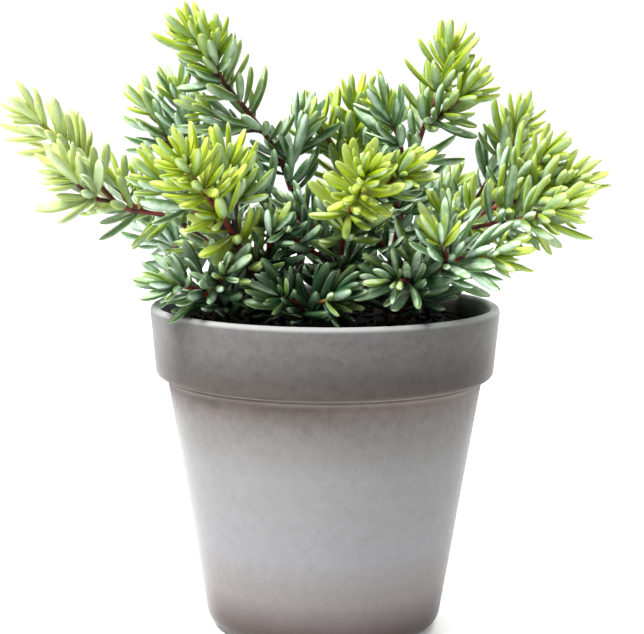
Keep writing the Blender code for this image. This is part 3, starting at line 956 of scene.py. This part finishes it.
# What a leaf that would touch another tries in turn: more spread and more turn in degrees, and its size
BENDS = (
    (0, 0, 1.0), (-14, 8, 1.0), (12, -10, 1.0), (-10, -26, 1.0), (10, 26, 0.95), (-28, 0, 0.95),
    (24, 14, 0.9), (-22, 44, 0.9), (-22, -44, 0.9), (30, -30, 0.85), (-38, 20, 0.8), (0, 60, 0.8),
)


@dataclass(frozen=True)
class Site:
    """A place on a shoot's axis: its point, and the directions along the shoot and square to it."""

    shoot: Shoot
    point: Vector
    along: Vector
    square: Vector


@dataclass(frozen=True)
class Shape:
    """A closed mesh: its points, and its faces as tuples of point numbers."""

    points: list[Vector]
    faces: list[Face]

    @classmethod
    def of_strip(cls, points: list[Vector], sides: int) -> Shape:
        """The mesh of a closed strip, from its first end to its last."""
        return cls(points, [face for face, _ in strip_faces(sides, (len(points) - 2) // sides)])


@dataclass(frozen=True)
class Blade:
    """The form that every leaf shares: a spindle, widest past the middle, flat above and keeled below.

    The plain leaf is a prism of three sides, so it is a little wider than the fine one."""

    length: float = 19.5 * MM
    width: float = 4.5 * MM
    fine_width: float = 4.05 * MM
    depth: float = 2.7 * MM
    taper: float = 0.45
    blunt: float = 0.55
    fullest: float = 0.742
    crown: float = 0.3
    crown_middle: float = 0.72
    crown_edge: float = 0.28
    crown_round: float = 0.7
    keel: float = 0.7
    keel_point: float = 1.15
    plain_rings: tuple[float, ...] = (0.3, 0.8)
    plain_section: tuple[tuple[float, float], ...] = ((0.5, 0.3), (-0.5, 0.3), (0.0, -0.7))
    rings: int = 11
    sides: int = 12
    rounding: float = 1e-6

    def fullness(self, share: float) -> float:
        """The width at a share of the length, against the widest."""
        return share**self.taper * (1 - share**4) ** self.blunt / self.fullest

    def section(self) -> Iterator[tuple[float, float]]:
        """The fine outline across a leaf.

        Returns:
            Pairs of a place from -0.5 to 0.5 and a height, for a width and depth of 1.
        """
        for i in range(self.sides):
            turn = math.tau * i / self.sides
            across, high = math.cos(turn), math.sin(turn)
            if high > self.rounding:
                flat = self.crown_middle + self.crown_edge * abs(across)
                yield across / 2, self.crown * high**self.crown_round * flat
            else:
                yield across / 2, -self.keel * abs(high) ** self.keel_point


BLADE = Blade()


@dataclass(frozen=True)
class Leaf:
    """A leaf's root on the shoot's axis, the way it grows, its size and how young it is."""

    root: Vector
    along: Vector
    outward: Vector
    spread: float
    curl: float
    roll: float
    size: float
    youth: float

    def at(self, share: float) -> tuple[Vector, Vector, Vector]:
        """The leaf's middle at a share of its length.

        Args:
            share: 0 at the root, 1 at the tip.

        Returns:
            The point, the direction ahead and the upper normal there.
        """
        length = BLADE.length * self.size
        angle = self.spread - self.curl * share
        forth = (math.sin(self.spread) - math.sin(angle)) / self.curl
        out = (math.cos(angle) - math.cos(self.spread)) / self.curl
        middle = self.root + (self.along * forth + self.outward * out) * length
        normal = self.along * math.sin(angle) - self.outward * math.cos(angle)
        ahead = self.along * math.cos(angle) + self.outward * math.sin(angle)
        return middle, ahead, normal

    def plain(self, swell: float = 0.0) -> Shape:
        """The leaf's plain closed mesh.

        Args:
            swell: how much thicker and longer it is, where it stands for the space it needs.

        Returns:
            The mesh.
        """
        points = [self.root]
        for share in BLADE.plain_rings:
            middle, ahead, normal = self.at(share)
            normal = Quaternion(ahead, self.roll) @ normal
            side = normal.cross(ahead)
            width = BLADE.width * self.size * BLADE.fullness(share) + 2 * swell
            depth = BLADE.depth * self.size * BLADE.fullness(share) + 2 * swell
            for across, high in BLADE.plain_section:
                points.append(middle + side * (across * width) + normal * (high * depth))
        tip, ahead, _ = self.at(1.0)
        points.append(tip + ahead * swell)
        return Shape.of_strip(points, len(BLADE.plain_section))

    def add_fine(self, skin: Sheath, twist: float, tint: float) -> None:
        """Adds the leaf's fine form to a stem.

        Args:
            skin: the stem's skin.
            twist: how far the leaf turns about its own line, from root to tip.
            tint: from -1 for painted light to 1 for painted shade, over the whole leaf.
        """
        section = list(BLADE.section())
        rings, marks = [], [(0.0, 0.5, self.youth, tint)]
        for i in range(1, BLADE.rings + 1):
            share = (1 - math.cos(math.pi * i / (BLADE.rings + 1))) / 2
            middle, ahead, normal = self.at(share)
            normal = Quaternion(ahead, self.roll + twist * share) @ normal
            side = normal.cross(ahead)
            full = BLADE.fullness(share) * self.size
            ring = []
            for across, high in section:
                aside = side * (across * BLADE.fine_width * full)
                ring.append(middle + aside + normal * (high * BLADE.depth * full))
                upper = high / BLADE.crown if high > 0 else high / BLADE.keel
                marks.append((share, 0.5 + 0.5 * upper, self.youth, tint))
            rings.append(ring)
        marks.append((1.0, 0.5, self.youth, tint))
        skin.add_strip((self.root, self.at(1.0)[0]), rings, marks, Skin.LEAF)

    def bent(self, bend: tuple[float, float, float], least: float) -> Leaf:
        """The leaf bent out of another's way.

        Args:
            bend: more spread and more turn in degrees, and a share of its size.
            least: the least spread that it may have.

        Returns:
            The bent leaf.
        """
        spread, turn, size = bend
        return replace(
            self,
            spread=max(least, self.spread + math.radians(spread)),
            outward=Quaternion(self.along, math.radians(turn)) @ self.outward,
            size=self.size * size,
        )


@dataclass(frozen=True)
class Route:
    """A shoot's way, as points from its foot to its tip."""

    points: tuple[Vector, ...]

    @classmethod
    def smooth(cls, points: list[Vector], leaving: Vector, step: float, foot: Vector | None = None) -> Route:
        """A smooth curve through the given points.

        Args:
            points: what it passes through.
            leaving: its direction at the first point.
            step: about how far apart its own points lie.
            foot: a point below the first, if it has one.

        Returns:
            The route.
        """
        last = len(points) - 1
        slopes = [leaving * (points[1] - points[0]).length]
        slopes += [(points[i + 1] - points[i - 1]) / 2 for i in range(1, last)]
        slopes += [points[last] - points[last - 1]]
        route = [points[0]]
        for i in range(last):
            start, end = points[i], points[i + 1]
            pieces = max(1, round((end - start).length / step))
            for piece in range(1, pieces + 1):
                t = piece / pieces
                rise = t * t * (3 - 2 * t)
                bow = slopes[i] * (t * (1 - t) ** 2) - slopes[i + 1] * (t * t * (1 - t))
                route.append(start.lerp(end, rise) + bow)
        return cls(tuple([foot] if foot else []) + tuple(route))

    @property
    def length(self) -> float:
        """Its length."""
        return sum((b - a).length for a, b in zip(self.points, self.points[1:]))

    def at(self, distance: float) -> tuple[Vector, Vector, int]:
        """A point on the way.

        Args:
            distance: how far it is from the foot.

        Returns:
            The point, the direction there and the number of its stretch.
        """
        last = len(self.points) - 2
        for number, (a, b) in enumerate(zip(self.points, self.points[1:])):
            length = (b - a).length
            if distance <= length or number == last:
                break
            distance -= length
        return a.lerp(b, min(1.0, distance / length)), (b - a).normalized(), number

    def squares(self) -> list[tuple[Vector, Vector]]:
        """Where each of its points faces.

        Returns:
            For each point the direction ahead, and one square to it that turns as little as it can.
        """
        aheads = [(b - a).normalized() for a, b in zip(self.points, self.points[1:])]
        aheads = [aheads[0]] + [(a + b).normalized() for a, b in zip(aheads, aheads[1:])] + [aheads[-1]]
        square = aheads[0].orthogonal().normalized()
        found = []
        for ahead in aheads:
            square = (square - ahead * square.dot(ahead)).normalized()
            found.append((ahead, square))
        return found


@dataclass(frozen=True)
class Habit:
    """How a sedum's shoots hold their leaves.

    Drifts and openings are in degrees. The turn of the rosette's buds is a share of the golden angle, and
    that of the lowest leaves is in radians."""

    bud_scale: float = 0.74
    grown_at: float = 7.0 * MM
    low_at: float = 40.0 * MM
    least_spread: float = math.radians(8.0)
    bud_spread: float = math.radians(18.0)
    rosette_spread: float = math.radians(48.0)
    low_spread: float = math.radians(72.0)
    curl: float = math.radians(16.0)
    curls: tuple[float, float] = (0.35, 1.5)
    bud_curl: float = 0.4
    sizes: tuple[float, float] = (0.78, 1.06)
    turn_drift: float = 22.0
    spread_drift: float = 13.0
    roll_drift: float = 30.0
    youth_reach: float = 1.2
    youth_fade: float = 0.4
    youth_start: float = 0.4
    crowding: float = 2.1
    knot: float = 12.0 * MM
    gather: float = 0.75
    clearance: float = 0.35 * MM
    rosette_size: float = 0.55
    rosette_growth: float = 0.06
    rosette_opening: float = 4.0
    rosette_opens: float = 2.4
    rosette_turn: float = 0.4
    low_size: float = 0.9
    low_turn: float = 0.6

    def below(self, rank: float, leaves: int, leafy: float) -> float:
        """How far below its tip a shoot's leaf grows: close together at first, then gathered at knots."""
        even = leafy * (rank / (leaves - 1)) ** self.crowding
        return even - self.gather * self.knot / math.tau * math.sin(math.tau * even / self.knot)

    def leaf(self, site: Site, draw: random.Random, rank: float, below: float, scale: float) -> Leaf:
        """A leaf as it would grow with nothing in its way.

        Args:
            site: its place.
            draw: the shoot's random draw.
            rank: its number, counted from the shoot's tip.
            below: how far below the tip it grows.
            scale: a share of its size.

        Returns:
            The leaf.
        """
        grown, low = held(below / self.grown_at), held((below - self.grown_at) / self.low_at)
        spread = self.bud_spread + (self.rosette_spread - self.bud_spread) * grown
        spread += (self.low_spread - self.rosette_spread) * low
        azimuth = GOLDEN_ANGLE * rank + math.radians(draw.uniform(-self.turn_drift, self.turn_drift))
        young = site.shoot.young * self.youth_reach - rank / (site.shoot.leaves - 1)
        return Leaf(
            root=site.point,
            along=site.along,
            outward=Quaternion(site.along, azimuth) @ site.square,
            spread=spread + math.radians(draw.uniform(-self.spread_drift, self.spread_drift)),
            curl=self.curl * draw.uniform(*self.curls) * (self.bud_curl + (1 - self.bud_curl) * grown),
            roll=math.radians(draw.uniform(-self.roll_drift, self.roll_drift)),
            size=(self.bud_scale + (1 - self.bud_scale) * grown) * draw.uniform(*self.sizes) * scale,
            youth=held(young / self.youth_fade + self.youth_start),
        )

    def bud(self, site: Site, draw: random.Random, number: int) -> Leaf:
        """A small leaf in the heart of a rosette.

        Args:
            site: its place.
            draw: the shoot's random draw.
            number: its number, counted from the shoot's tip.

        Returns:
            The leaf.
        """
        scale = self.rosette_size + self.rosette_growth * number
        return replace(
            self.leaf(site, draw, 0.0, 0.0, scale),
            spread=math.radians(self.rosette_opening + self.rosette_opens * number),
            outward=Quaternion(site.along, GOLDEN_ANGLE * (number + self.rosette_turn)) @ site.square,
        )

    def lowest(self, site: Site, draw: random.Random, number: int, leafy: float) -> Leaf:
        """An old leaf below the leafy part of a shoot.

        Args:
            site: its place.
            draw: the shoot's random draw.
            number: its number, counted down from the leafy part.
            leafy: the length of the leafy part.

        Returns:
            The leaf.
        """
        grown = self.leaf(site, draw, site.shoot.leaves - 1, leafy, self.low_size)
        turn = GOLDEN_ANGLE * number + draw.uniform(-self.low_turn, self.low_turn)
        return replace(grown, outward=Quaternion(site.along, turn) @ site.square, youth=0.0)


@dataclass
class Limb:
    """A shoot on its way: its plain and fine routes, its radius at foot and tip, and its leaves."""

    node: str
    shoot: Shoot
    plain: Route
    fine: Route
    thick: float
    thin: float
    draw: random.Random
    leaves: list[Leaf] = field(default_factory=list)
    squares: list[tuple[Vector, Vector]] = field(init=False)
    length: float = field(init=False)
    leafy: float = field(init=False)

    def __post_init__(self) -> None:
        """Works out the plain route's squares, its length and the length of its leafy part."""
        self.squares = self.plain.squares()
        self.length = self.plain.length
        self.leafy = min(self.shoot.leafy * MM, self.length - 2 * self.thin)

    def site(self, below: float) -> Site:
        """A leaf's place.

        Args:
            below: the distance from the tip, along the plain route.

        Returns:
            The place.
        """
        point, along, number = self.plain.at(self.length - below)
        square = self.squares[number][1]
        return Site(self.shoot, point, along, (square - along * square.dot(along)).normalized())


@dataclass(frozen=True)
class Solid:
    """A piece in place: its node, its faces, those past its sunk root, and the sphere that holds it."""

    node: str
    whole: BVHTree
    free: BVHTree
    middle: Vector
    reach: float

    @classmethod
    def of(cls, node: str, shape: Shape, free: list[Face] | None = None) -> Solid:
        """The solid of a mesh.

        Args:
            node: its node.
            shape: its mesh.
            free: the faces past its sunk root, if not all.

        Returns:
            The solid.
        """
        low = Vector([min(point[axis] for point in shape.points) for axis in range(3)])
        high = Vector([max(point[axis] for point in shape.points) for axis in range(3)])
        whole = BVHTree.FromPolygons(shape.points, shape.faces)
        past_root = BVHTree.FromPolygons(shape.points, free) if free else whole
        return cls(node, whole, past_root, (low + high) / 2, (high - low).length / 2)

    @classmethod
    def of_leaf(cls, node: str, leaf: Leaf, swell: float = 0.0) -> Solid:
        """The solid of a leaf, thicker by swell."""
        shape = leaf.plain(swell)
        return cls.of(node, shape, [face for face in shape.faces if 0 not in face])

    @classmethod
    def of_node(cls, node: str) -> Solid:
        """The solid of one of the frame's nodes.

        Args:
            node: the node's name.

        Returns:
            The solid.
        """
        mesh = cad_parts[node].data
        points = [vertex.co.copy() for vertex in mesh.vertices]
        return cls.of(node, Shape(points, [tuple(face.vertices) for face in mesh.polygons]))

    def near(self, other: Solid) -> bool:
        """Whether the two spheres meet."""
        return (self.middle - other.middle).length <= self.reach + other.reach


@dataclass(frozen=True)
class Shades:
    """How much painted shade a leaf gets in the plant's heart and low down, and how much painted light at the
    plant's left and right sides.

    Towards the right side the painted light comes on more slowly, by right_slowness."""

    # Painted shade gathers about the heart and below gloom_top; painted light grows past sunny_left and
    # sunny_right.
    heart: Vector = Vector((0.0, -31.0, 113.0)) * MM
    heart_reach: float = 46.0 * MM
    gloom: float = 0.35
    gloom_floor: float = 105.0 * MM
    gloom_top: float = 125.0 * MM
    sunny_left: float = -52.0 * MM
    sunny_right: float = 22.0 * MM
    sunny_reach: float = 36.0 * MM
    right_slowness: float = 3.5
    anywhere: float = 0.4
    in_depth: float = 0.4
    chance_in_depth: float = 2.8
    youth_guard: float = 0.8

    def tint(self, leaf: Leaf, draw: random.Random) -> float:
        """A leaf's painted light and shade.

        Args:
            leaf: the leaf.
            draw: its stem's random draw.

        Returns:
            0 for a plain leaf; up to 1 for painted shade, most on an old one in the heart of the plant and
            low down, with some darkening at random anywhere; down to -1 for painted light at the plant's
            sides.
        """
        # Painted shade: strongest near the heart and low down.
        depth = held(1 - (leaf.root - self.heart).length / self.heart_reach)
        low = (self.gloom_top - leaf.root.z) / (self.gloom_top - self.gloom_floor)
        depth = held(depth + self.gloom * held(low))
        # Painted light at the left and right sides, none where the painted shade is strong.
        left, right = self.sunny_left - leaf.root.x, (leaf.root.x - self.sunny_right) / self.right_slowness
        painted_light_share = held(max(left, right) / self.sunny_reach) * (1 - depth)
        chance = draw.random()
        deep_shade = (self.in_depth + self.chance_in_depth * chance) * depth * (1 - leaf.youth * self.youth_guard)
        return held(self.anywhere * chance + deep_shade) * (1 - painted_light_share) - painted_light_share


@dataclass
class Sedum:
    """The plant: sixteen leafy stems, grown together so that none crosses another. Twist is in degrees."""

    soil: Soil
    stem_sides: int = 4
    stem_radius: float = 1.2 * MM
    twig_radius: float = 0.9 * MM
    tip_radius: float = 0.6 * MM
    plain_step: float = 10.0 * MM
    fine_step: float = 1.6 * MM
    fine_sides: int = 10
    slender: float = 0.94
    knuckle: float = 0.16
    knuckle_reach: float = 1.3 * MM
    rough: float = 0.08
    rough_size: float = 2.5 * MM
    map_rows: int = 10
    collar: float = 2.0 * MM
    buds: int = 10
    bud_step: float = 0.3 * MM
    between: tuple[float, ...] = (0.25, 0.5, 0.75)
    between_size: float = 0.85
    low_step: float = 1.1 * MM
    low_top: float = 142.0 * MM
    bare_foot: float = 16.0 * MM
    twist: float = 10.0
    habit: Habit = field(default_factory=Habit)
    shades: Shades = field(default_factory=Shades)
    leaf_finish: LeafFinish = field(default_factory=LeafFinish)
    wood_finish: WoodFinish = field(default_factory=WoodFinish)
    limbs: list[Limb] = field(default_factory=list)
    placed: list[Solid] = field(default_factory=list)

    def routes(self, shoot: Shoot, trunk: Route | None) -> tuple[Route, Route]:
        """A main shoot's way from the bottom of its hole, or a side shoot's from the main one's axis.

        Args:
            shoot: the shoot.
            trunk: the main shoot's plain route, for a side shoot.

        Returns:
            Its plain and fine routes.
        """
        if trunk:
            start, away, _ = trunk.at(trunk.length * shoot.joins)
            points = [start] + [Vector(point) * MM for point in shoot.points]
            foot, leaving = None, (away + (points[1] - start).normalized()).normalized()
        else:
            x, y = (axis * MM for axis in shoot.points[0])
            foot, leaving = Vector((x, y, self.soil.height(x, y) - self.soil.hole_depth)), UP
            collar = foot + UP * (self.soil.hole_depth + self.collar)
            points = [collar] + [Vector(point) * MM for point in shoot.points[1:]]
        return tuple(Route.smooth(points, leaving, step, foot) for step in (self.plain_step, self.fine_step))

    def lay_routes(self) -> None:
        """Lays every shoot's way. A stem's first shoot is its main one."""
        for node, shoots in STEMS.items():
            trunk = None
            for i, shoot in enumerate(shoots):
                plain, fine = self.routes(shoot, trunk)
                thick = self.twig_radius if trunk else self.stem_radius
                trunk = trunk or plain
                draw = random.Random(f"{node} {i}")
                self.limbs.append(Limb(node, shoot, plain, fine, thick, self.tip_radius, draw))

    def plain_tube(self, limb: Limb) -> Shape:
        """A limb's plain stem, for the space that it takes.

        Args:
            limb: the limb.

        Returns:
            The stem's closed mesh.
        """
        points, route = [limb.plain.points[0]], limb.plain.points
        for i, (point, (ahead, square)) in enumerate(zip(route[:-1], limb.squares)):
            radius = limb.thick + (limb.thin - limb.thick) * i / (len(route) - 2)
            across = ahead.cross(square)
            for side in range(self.stem_sides):
                turn = math.tau * side / self.stem_sides
                points.append(point + (square * math.cos(turn) + across * math.sin(turn)) * radius)
        return Shape.of_strip(points + [route[-1]], self.stem_sides)

    def is_clear(self, leaf: Leaf, node: str) -> bool:
        """Whether a leaf keeps its clearance to other nodes, and its free part misses its own node.

        Args:
            leaf: the leaf.
            node: its own node.

        Returns:
            True where it touches nothing.
        """
        room, own = Solid.of_leaf(node, leaf, self.habit.clearance), Solid.of_leaf(node, leaf)
        for other in self.placed:
            if not room.near(other):
                continue
            if own.free.overlap(other.free) if other.node == node else room.whole.overlap(other.whole):
                return False
        return True

    def settle(self, free: Leaf, limb: Limb) -> None:
        """Bends a leaf clear of the others and keeps it, or leaves it out.

        Args:
            free: the leaf as it would grow.
            limb: its limb.
        """
        tries = (free.bent(bend, self.habit.least_spread) for bend in BENDS)
        leaf = next((tried for tried in tries if self.is_clear(tried, limb.node)), None)
        if leaf:
            limb.leaves.append(leaf)
            self.placed.append(Solid.of_leaf(limb.node, leaf))

    def grow_leaf(self, limb: Limb, draw: random.Random, rank: float, scale: float = 1.0) -> None:
        """Grows one leaf in the leafy part of a limb.

        Args:
            limb: the limb.
            draw: the random draw.
            rank: the leaf's number, counted from the tip.
            scale: a share of its size.
        """
        below = self.habit.below(rank, limb.shoot.leaves, limb.leafy)
        site = limb.site(self.tip_radius + below)
        self.settle(self.habit.leaf(site, draw, rank, below, scale), limb)

    def grow(self) -> None:
        """Grows the leaves of the solids. All the tips come first, and the lowest leaves last."""
        self.placed = [Solid.of_node("pot"), Solid.of_node("soil")]
        self.placed += [Solid.of(limb.node, self.plain_tube(limb)) for limb in self.limbs]
        for rank in range(max(limb.shoot.leaves for limb in self.limbs)):
            for limb in self.limbs:
                if rank < limb.shoot.leaves:
                    self.grow_leaf(limb, limb.draw, rank)

    def fill_out(self) -> None:
        """Adds the small buds in the rosettes, the leaves between the others and the lowest ones."""
        for limb in self.limbs:
            shoot = limb.shoot
            draw = random.Random(f"more of {limb.node} {shoot.points[-1]}")
            for number in range(self.buds):
                self.settle(self.habit.bud(limb.site(self.bud_step * number), draw, number), limb)
            for rank in range(1, shoot.leaves - 1):
                for part in self.between:
                    self.grow_leaf(limb, draw, rank + part, self.between_size)
            bare = limb.length - limb.leafy - self.bare_foot
            for number in range(int(max(0.0, bare) / self.low_step)):
                site = limb.site(limb.leafy + self.low_step * (number + 0.5))
                if site.point.z <= self.low_top:
                    self.settle(self.habit.lowest(site, draw, number, limb.leafy), limb)

    def add_stem(self, limb: Limb, skin: Sheath) -> None:
        """Adds a limb's fine stem, with a knuckle at each leaf.

        Args:
            limb: the limb.
            skin: the skin that it joins.
        """
        route = limb.fine
        whole, gone = route.length, 0.0
        rings, marks = [], [NO_MARKS]
        previous = route.points[0]
        for point, (ahead, square) in zip(route.points[:-1], route.squares()):
            gone += (point - previous).length
            previous = point
            share = gone / whole
            away = (-(leaf.root - point).length_squared / self.knuckle_reach**2 for leaf in limb.leaves)
            knuckle = max(map(math.exp, away), default=0.0)
            radius = (limb.thick + (limb.thin - limb.thick) * share) * (self.slender + self.knuckle * knuckle)
            across = ahead.cross(square)
            ring = []
            for side in range(self.fine_sides):
                turn = math.tau * side / self.fine_sides
                bumps = noise.noise(point / self.rough_size + Vector((math.cos(turn), math.sin(turn), 0.0)))
                spoke = (square * math.cos(turn) + across * math.sin(turn)) * radius
                ring.append(point + spoke * (1 + self.rough * bumps))
                marks.append((share, knuckle, 0.0, 0.0))
            rings.append(ring)
        marks.append((1.0, 0.0, 0.0, 0.0))
        skin.add_strip((route.points[0], route.points[-1]), rings, marks, Skin.WOOD, self.map_rows)

    def build(self) -> list[bpy.types.Object]:
        """Every stem's piece, in place of its solid.

        Returns:
            The pieces, in the order of the stems.
        """
        self.lay_routes()
        self.grow()
        log.info("%d leaves as in the solids", sum(len(limb.leaves) for limb in self.limbs))
        self.fill_out()
        log.info("%d leaves in all", sum(len(limb.leaves) for limb in self.limbs))
        materials = [self.wood_finish.material(), self.leaf_finish.material()]
        pieces = []
        for node in STEMS:
            skin = Sheath()
            draw = random.Random(f"tints of {node}")
            for limb in (limb for limb in self.limbs if limb.node == node):
                self.add_stem(limb, skin)
                for leaf in limb.leaves:
                    twist = math.radians(draw.uniform(-self.twist, self.twist))
                    # Each leaf carries painted light and shade, by where it grows and this draw.
                    leaf.add_fine(skin, twist, self.shades.tint(leaf, draw))
            pieces.append(settled(skin.make("fine_" + node, materials), node))
        return pieces


# The studio


@dataclass(frozen=True)
class Lamp:
    """A square soft light: its name, its place and width in metres, its power in watts and what it faces."""

    name: str
    place: tuple[float, float, float]
    size: float
    power: float
    target: tuple[float, float, float] = (0.0, 0.0, 0.13)

    def hang(self) -> None:
        """Hangs the lamp."""
        data = bpy.data.lights.new(self.name, "AREA")
        data.size = self.size
        data.energy = self.power
        lamp = linked(bpy.data.objects.new(self.name, data))
        lamp.location = self.place
        aim = Vector(self.place) - Vector(self.target)
        lamp.rotation_euler = aim.to_track_quat("Z", "Y").to_euler()


@dataclass(frozen=True)
class Studio:
    """The pale floor, the soft light and the camera at the photograph's angle.

    The focal length and the photograph's width are in its pixels. The surroundings are dim in front and
    fade to the bright backdrop behind."""

    photo_width: float = 644.0
    focal_pixels: float = 1631.0
    sensor: float = 36.0
    clip_start: float = 10.0 * MM
    camera_at: tuple[float, float, float] = (-1.07 * MM, -557.4 * MM, 184.1 * MM)
    look_down: float = math.radians(7.85)
    tilt: float = math.radians(0.35)
    floor_radius: float = 1.9
    floor_sides: int = 64
    floor_gap: float = 0.1 * MM
    room: float = 0.15
    backdrop: float = 1.1
    fade: tuple[float, float] = (0.4, 0.95)
    lamps: tuple[Lamp, ...] = (
        Lamp("key softbox", (-0.6, -0.53, 1.32), 0.5, 48.0),
        Lamp("backdrop lamp", (0.7, 1.4, 1.4), 1.4, 50.0),
    )

    def camera(self) -> None:
        """Sets up the camera."""
        data = bpy.data.cameras.new("camera")
        data.sensor_width = self.sensor
        data.lens = self.sensor * self.focal_pixels / self.photo_width
        data.clip_start = self.clip_start
        camera = linked(bpy.data.objects.new("camera", data))
        aim = Matrix.Rotation(math.radians(90) - self.look_down, 4, "X") @ Matrix.Rotation(self.tilt, 4, "Z")
        camera.matrix_world = Matrix.Translation(self.camera_at) @ aim
        bpy.context.scene.camera = camera

    def floor(self) -> None:
        """Lays the floor, a hair under the pot."""
        mesh = bpy.data.meshes.new("floor")
        turns = [math.tau * i / self.floor_sides for i in range(self.floor_sides)]
        points = [(math.cos(turn), math.sin(turn)) for turn in turns]
        points = [(self.floor_radius * x, self.floor_radius * y, -self.floor_gap) for x, y in points]
        mesh.from_pydata(points, [], [tuple(range(self.floor_sides))])
        mesh.materials.append(FloorFinish().material())
        linked(bpy.data.objects.new("floor", mesh))

    def world(self) -> None:
        """Sets the white surroundings."""
        bench = Bench(bpy.data.worlds.new("studio"), "Background")
        towards = bench.node("ShaderNodeTexCoord", output="Generated")
        behind = bench.node("ShaderNodeSeparateXYZ", None, {0: towards}, output="Y").between(*self.fade)
        strength = self.room + behind * (self.backdrop - self.room)
        bpy.context.scene.world = bench.finished(Color=(1.0, 1.0, 1.0), Strength=strength)

    def build(self) -> None:
        """Sets up the whole studio."""
        self.camera()
        self.floor()
        self.world()
        for lamp in self.lamps:
            lamp.hang()
        bpy.context.scene.view_settings.view_transform = "Standard"


def main() -> None:
    """Builds the studio and every piece in order."""
    logging.basicConfig(level=logging.INFO, format="%(name)s: %(message)s")
    Studio().build()
    log.info("studio is set")
    pot = Pot.of_frame()
    soil = Soil(pot)
    for piece in (pot.build(), soil.build(), *Sedum(soil).build()):
        log.info("%s: %d faces", piece.name, len(piece.data.polygons))


if __name__ == "__main__":
    main()
